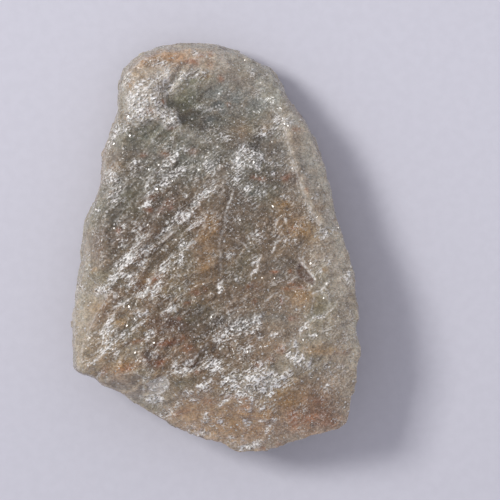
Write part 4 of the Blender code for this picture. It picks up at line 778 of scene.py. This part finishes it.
def riblets(points):
    """Sharp fine crests that run along the ribs, 0 between them and 1 on a crest."""
    ahead, across = along_ribs(points[:, :2])
    values = [
        noise.noise((u / RIBLET_LENGTH, v / RIBLET_SPACING, z / RIBLET_SPACING / 2))
        for u, v, z in zip(ahead, across, points[:, 2])
    ]
    return np.clip(1.0 - RIBLET_SHARPNESS * np.abs(values), 0.0, 1.0)


def read_points(mesh):
    """The mesh's points and their normals, as rows."""
    points = np.empty(len(mesh.vertices) * 3)
    normals = np.empty(len(mesh.vertices) * 3)
    mesh.vertices.foreach_get("co", points)
    mesh.vertex_normals.foreach_get("vector", normals)
    return points.reshape(-1, 3), normals.reshape(-1, 3)


def write_points(mesh, points):
    mesh.vertices.foreach_set("co", points.ravel())
    mesh.update()


def with_modifier(mesh, kind, **settings):
    """The mesh after one modifier."""
    holder = bpy.data.objects.new("holder", mesh)
    bpy.context.collection.objects.link(holder)
    modifier = holder.modifiers.new(kind.title(), kind)
    for name, value in settings.items():
        setattr(modifier, name, value)
    graph = bpy.context.evaluated_depsgraph_get()
    result = bpy.data.meshes.new_from_object(holder.evaluated_get(graph))
    bpy.data.objects.remove(holder)
    bpy.data.meshes.remove(mesh)
    return result


def carve(mesh):
    """The main forms: relief on the upper face and roughness all round."""
    points, normals = read_points(mesh)
    off_the_flat = steps_between(FLAT_BELOW, ROUGH_ABOVE, points[:, 2])
    moved = points + normals * (off_the_flat * noise_at(points, ROUGHNESS))[:, None]
    moved[:, 2] += share_above_girdle(points) * relief(points[:, :2])
    write_points(mesh, moved)


def patches(places, strokes, widened=1.0):
    """The strongest of several soft-edged oval patches at each place."""
    total = np.zeros(len(places))
    for x, y, half_width, half_length, turn, strength in strokes:
        angle = math.radians(turn)
        dx, dy = places[:, 0] - x, places[:, 1] - y
        u = (dx * math.cos(angle) + dy * math.sin(angle)) / (half_width * widened)
        v = (dy * math.cos(angle) - dx * math.sin(angle)) / (half_length * widened)
        total = np.maximum(total, strength * np.exp(-(u * u + v * v)))
    return total


def near_line(places, line, reach):
    """Numbers of the places that lie in the line's box, widened by reach."""
    low, high = np.min(line, axis=0) - reach, np.max(line, axis=0) + reach
    return np.flatnonzero(np.all((places > low) & (places < high), axis=1))


def crests(places):
    """Height of the fine crests, whose lit side is on the left of their line, and the painted highlight along
    them.
    """
    height = np.zeros(len(places))
    edge = np.zeros(len(places))
    for strength, line in CRESTS:
        near = near_line(places, line, 3 * CREST_REACH)
        gap, travelled, length = across_line(places[near], line)
        to_end = np.minimum(travelled, length - travelled)
        fade = strength * steps_between(-CREST_WIDTH, CREST_TAPER, to_end)
        step = np.tanh(gap / CREST_WIDTH) * np.exp(-np.abs(gap) / CREST_REACH)
        height[near] -= 0.5 * CREST_HEIGHT * fade * step
        edge[near] = np.maximum(edge[near], fade * np.exp(-(gap / HIGHLIGHT_WIDTH) ** 2))
    return height, edge


def within(places, outline):
    """1 inside the outline and 0 outside it, with an edge PANEL_EDGE wide."""
    corners = np.array(outline)
    ends = np.roll(corners, -1, axis=0)
    inside = np.zeros(len(places), dtype=bool)
    for (x1, y1), (x2, y2) in zip(corners, ends):
        if y1 != y2:
            crosses = (y1 > places[:, 1]) != (y2 > places[:, 1])
            inside ^= crosses & (places[:, 0] < x1 + (places[:, 1] - y1) * (x2 - x1) / (y2 - y1))
    gap = np.abs(across_line(places, [*outline, outline[0]])[0])
    return steps_between(-PANEL_EDGE, PANEL_EDGE, np.where(inside, gap, -gap))


def marks(places):
    """How strongly each kind of mark shows at each place, painted shade, highlights and reflection among
    them.
    """
    found = {name: patches(places, each, STAIN_SPREAD) for name, each in STAINS.items()}
    strokes = {"shade": STAINS["shade"], "frost": FROST, "calm": CALM, "mirror": (), "edge": ()}
    found.update((name, patches(places, each)) for name, each in strokes.items())
    for shares, outline in PANELS:
        near = near_line(places, outline, 3 * HIGHLIGHT_WIDTH)
        covered = within(places[near], outline)
        for name in shares.keys() - {"edge"}:
            found[name][near] = np.maximum(found[name][near], shares[name] * covered)
        # a painted highlight along the panel's outline
        gap = across_line(places[near], [*outline, outline[0]])[0]
        line = shares.get("edge", 0.0) * np.exp(-(gap / HIGHLIGHT_WIDTH) ** 2)
        found["edge"][near] = np.maximum(found["edge"][near], line)
    return found


def set_attribute(mesh, name, values):
    layer = mesh.attributes.new(name, "FLOAT", "POINT")
    layer.data.foreach_set("value", np.asarray(values, dtype=np.float32))


def refine(mesh):
    """The fine surface along the normals, and the attributes that the material reads."""
    points, normals = read_points(mesh)
    places = points[:, :2]
    off_the_flat = steps_between(FINE_FLAT_BELOW, FINE_ROUGH_ABOVE, points[:, 2])
    facing_up = steps_between(0.0, 0.6, normals[:, 2])
    crest = riblets(points)
    left = CALM_SHARE + (1.0 - CALM_SHARE) * steps_between(CALM_EDGE, -CALM_EDGE, places[:, 0])
    found = marks(places)
    crest_height, crest_highlight = crests(places)
    rough = 0.5 + 0.5 * steps_between(-0.3, 0.3, noise_at(points, ((ROUGHER_WAVE, 1.0),)))
    rough = np.maximum(rough, found["frost"]) * (1.0 - found["calm"])
    rough *= SIDE_SHARE + (1.0 - SIDE_SHARE) * steps_between(0.3, 0.8, normals[:, 2])
    height = RIBLET_HEIGHT * left * crest * rough
    for size, steepness in GRAINS:
        height += rough * facets_at(points, size, steepness)
    under = np.flatnonzero(normals[:, 2] < UNDER_EDGE[0])
    share_under = steps_between(*UNDER_EDGE, normals[under, 2])
    for size, steepness in UNDER_FACETS:
        height[under] += share_under * facets_at(points[under], size, steepness)
    height += noise_at(points, GRIT) + crest_height * facing_up
    write_points(mesh, points + normals * (off_the_flat * height)[:, None])
    found["edge"] = np.maximum(found["edge"], crest_highlight)
    # Painted light: the rim is paler where light would shine through the thin stone, more so away from the
    # lamp and towards the thin end
    far = steps_between(-RIM_CHANGE, RIM_CHANGE, places @ PALER_TOWARDS)
    found["rim"] = np.exp(-np.abs(across_line(places, [*OUTLINE, OUTLINE[0]])[0]) / RIM_LIGHT_REACH)
    found["rim"] *= NEAR_RIM + (1.0 - NEAR_RIM) * far
    set_attribute(mesh, "crest", crest * rough)
    side = np.flatnonzero(facing_up < 1.0)
    for name, share in found.items():
        if name != "rim":
            share = share * facing_up
        if name in SIDE_MARKS:
            wave, low, high, strength = SIDE_MARKS[name]
            clouds = noise_at(points[side] + len(name) * CLOUD_OFFSET, ((wave, 1.0),))
            share[side] += (1.0 - facing_up[side]) * strength * steps_between(low, high, clouds)
        set_attribute(mesh, name, share)


def keep_main_part(bm):
    """Deletes what doesn't hang together with the highest point, such as dimples that a cut closed."""
    top = max(bm.verts, key=lambda vert: vert.co.z)
    found, waiting = {top}, [top]
    while waiting:
        vert = waiting.pop()
        for edge in vert.link_edges:
            other = edge.other_vert(vert)
            if other not in found:
                found.add(other)
                waiting.append(other)
    apart = [vert for vert in bm.verts if vert not in found]
    bmesh.ops.delete(bm, geom=apart, context="VERTS")


def settle(mesh):
    """Cuts the flat rest spot and brings the stone into its solid's box, in metres."""
    bm = bmesh.new()
    bm.from_mesh(mesh)
    lowest = min(vert.co.z for vert in bm.verts)
    break_off(bm, Vector((0.0, 0.0, lowest + REST_CUT)), Vector((0.0, 0.0, -1.0)))
    keep_main_part(bm)
    bmesh.ops.triangulate(bm, faces=bm.faces)
    bmesh.ops.recalc_face_normals(bm, faces=bm.faces)
    low, high = (
        Vector(extreme(axis) for axis in zip(*(vert.co for vert in bm.verts)))
        for extreme in (min, max)
    )
    box_low, box_high = map(Vector, STONE_BOX)
    size, box_size = high - low, box_high - box_low
    bmesh.ops.translate(bm, vec=-low, verts=bm.verts)
    bmesh.ops.scale(bm, vec=[wide / narrow for wide, narrow in zip(box_size, size)], verts=bm.verts)
    bmesh.ops.translate(bm, vec=box_low, verts=bm.verts)
    bm.to_mesh(mesh)
    bm.free()


class Shading:
    """Adds nodes to a material and links them."""

    def __init__(self, name):
        self.material = bpy.data.materials.new(name)
        self.material.use_nodes = True
        self.tree = self.material.node_tree
        self.shader = self.tree.nodes["Principled BSDF"]

    def give(self, socket, value):
        if isinstance(value, bpy.types.NodeSocket):
            self.tree.links.new(value, socket)
        else:
            socket.default_value = value

    def node(self, kind, inputs=(), **settings):
        made = self.tree.nodes.new(kind)
        for name, value in settings.items():
            setattr(made, name, value)
        for name, value in dict(inputs).items():
            self.give(made.inputs[name], value)
        return made

    def math(self, operation, a, b=0.0, clamp=False):
        made = self.node("ShaderNodeMath", {0: a, 1: b}, operation=operation, use_clamp=clamp)
        return made.outputs[0]

    def vector(self, operation, a, b=(0.0, 0.0, 0.0)):
        made = self.node("ShaderNodeVectorMath", {0: a, 1: b}, operation=operation)
        return made.outputs[0]

    def scaled(self, vector, factor):
        made = self.node("ShaderNodeVectorMath", {0: vector, "Scale": factor}, operation="SCALE")
        return made.outputs[0]

    def spread(self, value, low, high, to_low=0.0, to_high=1.0):
        """The value from low to high brought to the new range, smoothly and no further."""
        made = self.node("ShaderNodeMapRange", {
            "Value": value, "From Min": low, "From Max": high, "To Min": to_low, "To Max": to_high,
        }, interpolation_type="SMOOTHSTEP")
        return made.outputs[0]

    def mix(self, share, a, b, blend="MIX"):
        made = self.node("ShaderNodeMix", {0: share, 6: a, 7: b}, data_type="RGBA", blend_type=blend)
        return made.outputs[2]

    def noise(self, places, wavelength, detail=2.0):
        made = self.node("ShaderNodeTexNoise", {
            "Vector": places, "Scale": 1.0 / wavelength, "Detail": detail,
        })
        return made.outputs["Fac"]

    def cells(self, places, size):
        """Random grains of that size: the node, whose Color is one random colour for each grain."""
        return self.node("ShaderNodeTexVoronoi", {"Vector": places, "Scale": 1.0 / size})

    def fine_lines(self, places, busy, length, spacing, angle):
        """Thin crests of that length and spacing: 1 on a line, which is wider where it is busy."""
        cloud = self.node("ShaderNodeTexNoise", {"Vector": places, "Scale": 1.0 / length})
        bent = self.vector("ADD", places, self.scaled(cloud.outputs["Color"], length * 0.3))
        turned = self.node("ShaderNodeMapping", {
            "Vector": bent, "Rotation": (0.0, 0.0, angle), "Scale": (length, spacing, spacing),
        }, vector_type="TEXTURE")
        off_line = self.math("ABSOLUTE", self.math("SUBTRACT", self.noise(turned.outputs[0], 1.0, 1.0), 0.5))
        width = self.spread(busy, 0.0, 1.0, 0.06, 0.17)
        inside = self.math("SUBTRACT", 1.0, self.math("DIVIDE", off_line, width))
        return self.math("MULTIPLY", inside, 2.2, clamp=True)

    def strokes(self, places, busy):
        """Broken white strokes along the ribs, with shorter ones across them: partly frosted quartz, partly
        painted highlights on lit crests.
        """
        along = self.fine_lines(places, busy, *LONG_STROKES, RIB_ANGLE)
        across = self.fine_lines(places, busy, *CROSS_STROKES, RIB_ANGLE - CROSS_TURN)
        both = self.math("MAXIMUM", along, self.math("MULTIPLY", across, CROSS_SHARE))
        broken = self.spread(self.noise(places, STROKE_BREAKS, 1.0), 0.42, 0.56, 0.15, 1.0)
        return self.math("MULTIPLY", both, broken)

    def attribute(self, name):
        return self.node("ShaderNodeAttribute", attribute_name=name).outputs["Fac"]

    def millimetres(self):
        coordinates = self.node("ShaderNodeTexCoord").outputs["Object"]
        return self.scaled(coordinates, 1.0 / MM)


# The stone's finish, painted light and shade among it. Sizes are in millimetres; stains are mixed in this
# order
STAIN_COLOURS = {
    "pale": (0.66, 0.575, 0.46),
    "peach": (0.62, 0.33, 0.15),
    "olive": (0.23, 0.215, 0.115),
    "green": (0.18, 0.20, 0.185),
    "tan": (0.375, 0.225, 0.105),
    "brown": (0.115, 0.04, 0.016),
    "ochre": (0.43, 0.23, 0.055),
    "rust": (0.37, 0.115, 0.03),
}
BLOTCHY = ("ochre", "rust")
# colour of the painted light shining through the thin rim
PAINTED_RIM_LIGHT_COLOUR = (0.54, 0.50, 0.41, 1.0)
# colour of the painted shade
SHADE_COLOUR = (0.04, 0.03, 0.025, 1.0)
CRUSHED_COLOUR = (0.62, 0.59, 0.54, 1.0)
STROKE_SHADOW = (0.05, 0.04, 0.03, 1.0)
LONG_STROKES = (1.7, 0.38)  # their length and spacing
CROSS_STROKES = (0.6, 0.33)
CROSS_TURN = 0.7  # radians between the two
CROSS_SHARE = 0.45
STROKE_BREAKS = 0.34
TOWARD_LIGHT = (-0.09, 0.10, 0.0)  # where a stroke's shadow looks for the stroke
STREAK_SIZE = (1.6, 0.6, 0.6)
SPECKLE_SIZE = 0.15
# sizes of the white grains and specks, which are painted glints
GLINT_SPOT_SIZE = 0.28
GLINT_SPECK_SIZE = 0.23
GLINT_SIZE = 0.22
BUMP_HEIGHT = 0.06
LIGHT_REACH = 1.6  # how deep light goes into the quartz
LIGHT_TINT = (1.0, 0.8, 0.65)


def stone_material(settings):
    """Waxy quartz with mottled grains, stains, frosted crests and grains that glint, and painted light and
    shade: highlights and glints, a reflection, shadows beside strokes, shade, and light through the rim.
    """
    s = Shading("aventurine_quartz")
    places = s.millimetres()
    crest = s.attribute("crest")
    frost = s.attribute("frost")

    greener = s.spread(s.noise(places, 7.0), 0.4, 0.6, 0.0, 0.6)
    colour = s.mix(greener, settings.quartz_colour, settings.green_colour)
    edge_noise = s.spread(s.noise(places, 1.2, 3.0), 0.3, 0.62, 0.5, 1.1)
    blotches = s.spread(s.noise(places, 0.7, 4.0), 0.3, 0.6, 0.45, 1.0)
    for name, stain in STAIN_COLOURS.items():
        broken = blotches if name in BLOTCHY else edge_noise
        share = s.math("MULTIPLY", s.attribute(name), broken, clamp=True)
        colour = s.mix(share, colour, (*stain, 1.0))
    # painted light shining through the thin rim
    rim = s.math("MULTIPLY", s.attribute("rim"), edge_noise, clamp=True)
    colour = s.mix(s.math("MULTIPLY", rim, 0.8), colour, PAINTED_RIM_LIGHT_COLOUR)
    # painted shade
    colour = s.mix(s.math("MULTIPLY", s.attribute("shade"), 0.8), colour, SHADE_COLOUR)
    colour = s.mix(s.math("MULTIPLY", frost, 0.22), colour, CRUSHED_COLOUR)

    speckle = s.node("ShaderNodeSeparateColor", {"Color": s.cells(places, SPECKLE_SIZE).outputs["Color"]})
    mottle = s.math(
        "MULTIPLY", s.spread(s.noise(places, 0.8, 5.0), 0.25, 0.75, 0.72, 1.06),
        s.spread(speckle.outputs[0], 0.0, 1.0, 0.76, 1.22))
    mottle_colour = s.node("ShaderNodeCombineColor", {"Red": mottle, "Green": mottle, "Blue": mottle})
    colour = s.mix(1.0, colour, mottle_colour.outputs[0], "MULTIPLY")

    clusters = s.spread(s.noise(places, 2.2, 2.0), 0.45, 0.68)
    streaks = s.node("ShaderNodeMapping", {
        "Vector": places, "Rotation": (0.0, 0.0, RIB_ANGLE), "Scale": STREAK_SIZE,
    }, vector_type="TEXTURE").outputs[0]
    streaky = s.spread(s.noise(streaks, 1.0, 2.0), 0.36, 0.6, 0.45, 1.0)
    busy = s.math("ADD", s.math("MULTIPLY", crest, 0.06), s.math("MULTIPLY", clusters, 0.13))
    busy = s.math("ADD", busy, s.math("MULTIPLY", frost, streaky), clamp=True)
    smooth = s.math("MAXIMUM", s.attribute("calm"), s.math("MULTIPLY", s.attribute("rim"), 0.7))
    busy = s.math("MULTIPLY", busy, s.spread(smooth, 0.0, 1.0, 1.0, 0.2))
    # The white strokes are partly frosted quartz and partly painted highlights on lit crests; each gets a
    # painted shadow on its side away from the lamp
    lines = s.strokes(places, busy)
    strength = s.spread(busy, 0.0, 0.35, 0.12, 1.0)
    behind = s.strokes(s.vector("ADD", places, TOWARD_LIGHT), busy)
    shadow = s.math("MULTIPLY", s.math("SUBTRACT", behind, lines, clamp=True), strength)
    colour = s.mix(s.math("MULTIPLY", shadow, 0.8), colour, STROKE_SHADOW)

    # white grains and specks: painted glints
    grains = s.cells(places, GLINT_SPOT_SIZE)
    picked = s.node("ShaderNodeSeparateColor", {"Color": grains.outputs["Color"]})
    spot = s.spread(grains.outputs["Distance"], 0.16, 0.28, 1.0, 0.0)
    spot = s.math("MULTIPLY", spot, s.spread(picked.outputs[0], 0.74, 0.8))
    spot = s.math("MULTIPLY", spot, s.spread(busy, 0.0, 0.3, 0.3, 1.0))
    specks = s.cells(places, GLINT_SPECK_SIZE)
    picked = s.node("ShaderNodeSeparateColor", {"Color": specks.outputs["Color"]})
    speck = s.spread(specks.outputs["Distance"], 0.2, 0.34, 0.55, 0.0)
    speck = s.math("MULTIPLY", speck, s.spread(picked.outputs[0], 0.82, 0.86))
    # painted highlight along the crests and round the panels
    edge = s.math("MULTIPLY", s.attribute("edge"), s.spread(s.noise(places, 0.4, 2.0), 0.36, 0.6, 0.1, 0.85))
    white = s.math("MAXIMUM", s.math("MULTIPLY", lines, strength), s.math("MAXIMUM", spot, edge))
    white = s.math("MAXIMUM", white, s.math("MULTIPLY", speck, s.spread(smooth, 0.0, 1.0, 1.0, 0.4)))
    # painted reflection on one flat facet
    white = s.math("MAXIMUM", white, s.math("MULTIPLY", s.attribute("mirror"), 0.7))
    colour = s.mix(white, colour, settings.frost_and_highlight_colour)

    normal = s.node("ShaderNodeNewGeometry").outputs["Normal"]
    facets = s.cells(places, GLINT_SIZE)
    lean = s.vector("SUBTRACT", facets.outputs["Color"], (0.5, 0.5, 0.5))
    glint = s.spread(busy, 0.0, 0.6, 0.3, 0.9)
    grain_normal = s.vector("NORMALIZE", s.vector("ADD", normal, s.scaled(lean, glint)))
    height = s.math("ADD", s.noise(places, 0.3, 2.0), s.math("MULTIPLY", lines, busy))
    bump = s.node("ShaderNodeBump", {
        "Strength": 0.8, "Distance": BUMP_HEIGHT * MM, "Height": height, "Normal": grain_normal,
    })
    shader = s.shader
    s.give(shader.inputs["Base Color"], colour)
    s.give(shader.inputs["Normal"], bump.outputs[0])
    polish = s.node("ShaderNodeSeparateColor", {"Color": facets.outputs["Color"]}).outputs[1]
    s.give(shader.inputs["Roughness"], s.spread(polish, 0.2, 0.8, 0.14, 0.5))
    s.give(shader.inputs["Subsurface Weight"], s.spread(white, 0.0, 1.0, 0.75, 0.1))
    shader.inputs["Subsurface Radius"].default_value = LIGHT_TINT
    shader.inputs["Subsurface Scale"].default_value = LIGHT_REACH * MM
    return s.material


def flake_material():
    """Pearly mica."""
    s = Shading("mica")
    places = s.millimetres()
    tint = s.mix(s.noise(places, 3.0), (0.62, 0.61, 0.58, 1.0), (0.70, 0.66, 0.58, 1.0))
    s.give(s.shader.inputs["Base Color"], tint)
    s.give(s.shader.inputs["Roughness"], s.spread(s.noise(places, 0.9), 0.3, 0.7, 0.14, 0.34))
    s.shader.inputs["Metallic"].default_value = 0.35
    return s.material


def paper_material(settings):
    """A pale matt sheet with a faint tooth, faint clouds and painted shade that darkens it towards -Y."""
    s = Shading("pale_sheet")
    places = s.millimetres()
    down = s.node("ShaderNodeSeparateXYZ", {"Vector": places}).outputs["Y"]
    # painted shade: the sheet darkens towards -Y
    tone_and_shade = s.math(
        "MULTIPLY", s.spread(s.noise(places, 1.2, 3.0), 0.3, 0.7, 0.985, 1.015),
        s.spread(down, -45.0, 30.0, 0.92, 1.0))
    tone_and_shade_colour = s.node("ShaderNodeCombineColor", {"Red": tone_and_shade, "Green": tone_and_shade, "Blue": tone_and_shade})
    colour = s.mix(1.0, settings.paper_colour, tone_and_shade_colour.outputs[0], "MULTIPLY")
    s.give(s.shader.inputs["Base Color"], colour)
    s.shader.inputs["Roughness"].default_value = 0.9
    bump = s.node("ShaderNodeBump", {
        "Strength": 0.25, "Distance": 0.05 * MM, "Height": s.noise(places, 0.5, 2.0),
    })
    s.give(s.shader.inputs["Normal"], bump.outputs[0])
    return s.material


def build_stone(settings):
    bm = lofted_blank()
    for point, outward in upper_planes():
        break_off(bm, point, outward)
    chip_underside(bm)
    bmesh.ops.triangulate(bm, faces=bm.faces)
    mesh = bpy.data.meshes.new("stone_surface")
    bm.to_mesh(mesh)
    bm.free()
    mesh = with_modifier(mesh, "REMESH", mode="VOXEL", voxel_size=BLANK_VOXEL)
    carve(mesh)
    mesh = with_modifier(mesh, "REMESH", mode="VOXEL", voxel_size=settings.voxel / MM)
    refine(mesh)
    triangles = sum(len(face.vertices) - 2 for face in mesh.polygons)
    if triangles > settings.triangles:
        mesh = with_modifier(
            mesh, "DECIMATE", ratio=settings.triangles / triangles, use_collapse_triangulate=True)
    settle(mesh)
    mesh.shade_smooth()
    mesh.materials.clear()
    mesh.materials.append(stone_material(settings))
    stone = bpy.data.objects.new("stone_surface", mesh)
    bpy.context.collection.objects.link(stone)
    return stone


class AVENTURINE_OT_stone(bpy.types.Operator):
    """Adds the stone's fine surface in place of its plain solid"""

    bl_idname = "aventurine.stone"
    bl_label = "Add stone surface"

    def execute(self, context):
        stone = build_stone(context.scene.aventurine_stone)
        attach(stone, "root")
        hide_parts("aventurine_stone")
        return {"FINISHED"}


def flake_spots(mesh, settings, rng):
    """Numbers of the faces that get a flake, their middles and normals: most where it is frosted."""
    total = len(mesh.polygons)
    areas = np.empty(total)
    mesh.polygons.foreach_get("area", areas)
    middles, normals = np.empty(3 * total), np.empty(3 * total)
    mesh.polygons.foreach_get("center", middles)
    mesh.polygons.foreach_get("normal", normals)
    middles, normals = middles.reshape(-1, 3), normals.reshape(-1, 3)
    corners = np.empty(len(mesh.loops), dtype=np.int32)
    mesh.loops.foreach_get("vertex_index", corners)
    frost = np.empty(len(mesh.vertices))
    mesh.attributes["frost"].data.foreach_get("value", frost)
    wanted = areas * (FLAKES_EVERYWHERE + frost[corners.reshape(-1, 3)[:, 0]])
    wanted[middles[:, 2] < FLAKES_ABOVE * MM] = 0.0
    picked = rng.choice(total, settings.count, replace=False, p=wanted / wanted.sum())
    return middles[picked], normals[picked]


def build_flakes(settings, stone):
    """Thin six-sided plates, each leaning a little way from the surface it sits in."""
    rng = np.random.default_rng(settings.seed)
    mesh = bpy.data.meshes.new("mica_flakes")
    whole = bmesh.new()
    spots = list(zip(*flake_spots(stone.data, settings, rng)))
    for start in range(0, len(spots), FLAKE_BATCH):
        bm = bmesh.new()
        for middle, normal in spots[start:start + FLAKE_BATCH]:
            leaning = Vector(normal + rng.normal(0.0, math.tan(settings.lean), 3))
            radius = settings.smallest + (settings.largest - settings.smallest) * rng.random() ** 2
            place = Matrix.Translation(middle) @ leaning.to_track_quat("Z", "Y").to_matrix().to_4x4()
            turn = Matrix.Rotation(rng.uniform(0.0, math.pi), 4, "Z")
            narrowed = Matrix.Diagonal((1.0, rng.uniform(*FLAKE_NARROWED), 1.0, 1.0))
            bmesh.ops.create_cone(
                bm, cap_ends=True, segments=6, radius1=radius, radius2=FLAKE_TAPER * radius,
                depth=settings.thickness, matrix=place @ turn @ narrowed)
        bm.to_mesh(mesh)
        bm.free()
        whole.from_mesh(mesh)
    whole.to_mesh(mesh)
    whole.free()
    mesh.materials.append(flake_material())
    flakes = bpy.data.objects.new("mica_flakes", mesh)
    bpy.context.collection.objects.link(flakes)
    return flakes


SHEET_HALF = 1.5  # metres
FOCUS_SHARE = 0.6  # share of the stone's height at which the view is as wide as its setting says


def build_stage(settings):
    """The sheet, the soft lamp, the light all round and the camera."""
    bm = bmesh.new()
    bmesh.ops.create_grid(bm, x_segments=1, y_segments=1, size=SHEET_HALF)
    mesh = bpy.data.meshes.new("sheet")
    bm.to_mesh(mesh)
    bm.free()
    mesh.materials.append(paper_material(settings))
    sheet = bpy.data.objects.new("sheet", mesh)
    bpy.context.collection.objects.link(sheet)

    lamp_data = bpy.data.lights.new("soft_lamp", "AREA")
    lamp_data.energy = settings.lamp_power
    lamp_data.size = settings.lamp_width
    lamp = bpy.data.objects.new("soft_lamp", lamp_data)
    across = math.cos(settings.lamp_elevation)
    towards = Vector((
        across * math.cos(settings.lamp_bearing),
        across * math.sin(settings.lamp_bearing),
        math.sin(settings.lamp_elevation),
    ))
    lamp.location = towards * settings.lamp_distance
    lamp.rotation_euler = towards.to_track_quat("Z", "Y").to_euler()
    bpy.context.collection.objects.link(lamp)

    world = bpy.data.worlds.new("ambient")
    world.use_nodes = True
    world.node_tree.nodes["Background"].inputs["Color"].default_value = (*settings.ambient_colour, 1.0)
    bpy.context.scene.world = world
    bpy.context.scene.view_settings.view_transform = "Standard"

    camera_data = bpy.data.cameras.new("camera")
    camera_data.lens = settings.lens
    camera = bpy.data.objects.new("camera", camera_data)
    rise = settings.view_width * camera_data.lens / camera_data.sensor_width
    camera.location = (*settings.view_centre, rise + FOCUS_SHARE * STONE_BOX[1][2])
    bpy.context.collection.objects.link(camera)
    bpy.context.scene.camera = camera


class AVENTURINE_OT_flakes(bpy.types.Operator):
    """Adds mica flakes, half sunk in the stone's surface"""

    bl_idname = "aventurine.flakes"
    bl_label = "Add mica flakes"

    def execute(self, context):
        stone = bpy.data.objects.get("stone_surface")
        if stone is None:
            raise RuntimeError("the stone surface comes first")
        flakes = build_flakes(context.scene.aventurine_flakes, stone)
        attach(flakes, "root")
        return {"FINISHED"}


class AVENTURINE_OT_stage(bpy.types.Operator):
    """Adds the pale sheet, the soft light and the camera"""

    bl_idname = "aventurine.stage"
    bl_label = "Add stage"

    def execute(self, context):
        build_stage(context.scene.aventurine_stage)
        return {"FINISHED"}


class AVENTURINE_PT_panel(bpy.types.Panel):
    """Lists the pieces and their settings"""

    bl_idname = "AVENTURINE_PT_panel"
    bl_label = "Rough aventurine"
    bl_space_type = "VIEW_3D"
    bl_region_type = "UI"
    bl_category = "Aventurine"

    def draw(self, context):
        for name, operator in PIECES:
            box = self.layout.box()
            settings = getattr(context.scene, name)
            for key in settings.__annotations__:
                box.prop(settings, key)
            box.operator(operator)


PIECES = (
    ("aventurine_stone", "aventurine.stone"),
    ("aventurine_flakes", "aventurine.flakes"),
    ("aventurine_stage", "aventurine.stage"),
)
SETTINGS = {
    "aventurine_stone": StoneSettings,
    "aventurine_flakes": FlakeSettings,
    "aventurine_stage": StageSettings,
}
CLASSES = (
    *SETTINGS.values(), AVENTURINE_OT_stone, AVENTURINE_OT_flakes, AVENTURINE_OT_stage,
    AVENTURINE_PT_panel)


def register():
    for item in CLASSES:
        bpy.utils.register_class(item)
    for name, kind in SETTINGS.items():
        setattr(bpy.types.Scene, name, PointerProperty(type=kind))


def unregister():
    for name in SETTINGS:
        delattr(bpy.types.Scene, name)
    for item in reversed(CLASSES):
        bpy.utils.unregister_class(item)


def main():
    register()
    bpy.ops.aventurine.stone()
    bpy.ops.aventurine.flakes()
    bpy.ops.aventurine.stage()


if __name__ == "__main__":
    main()
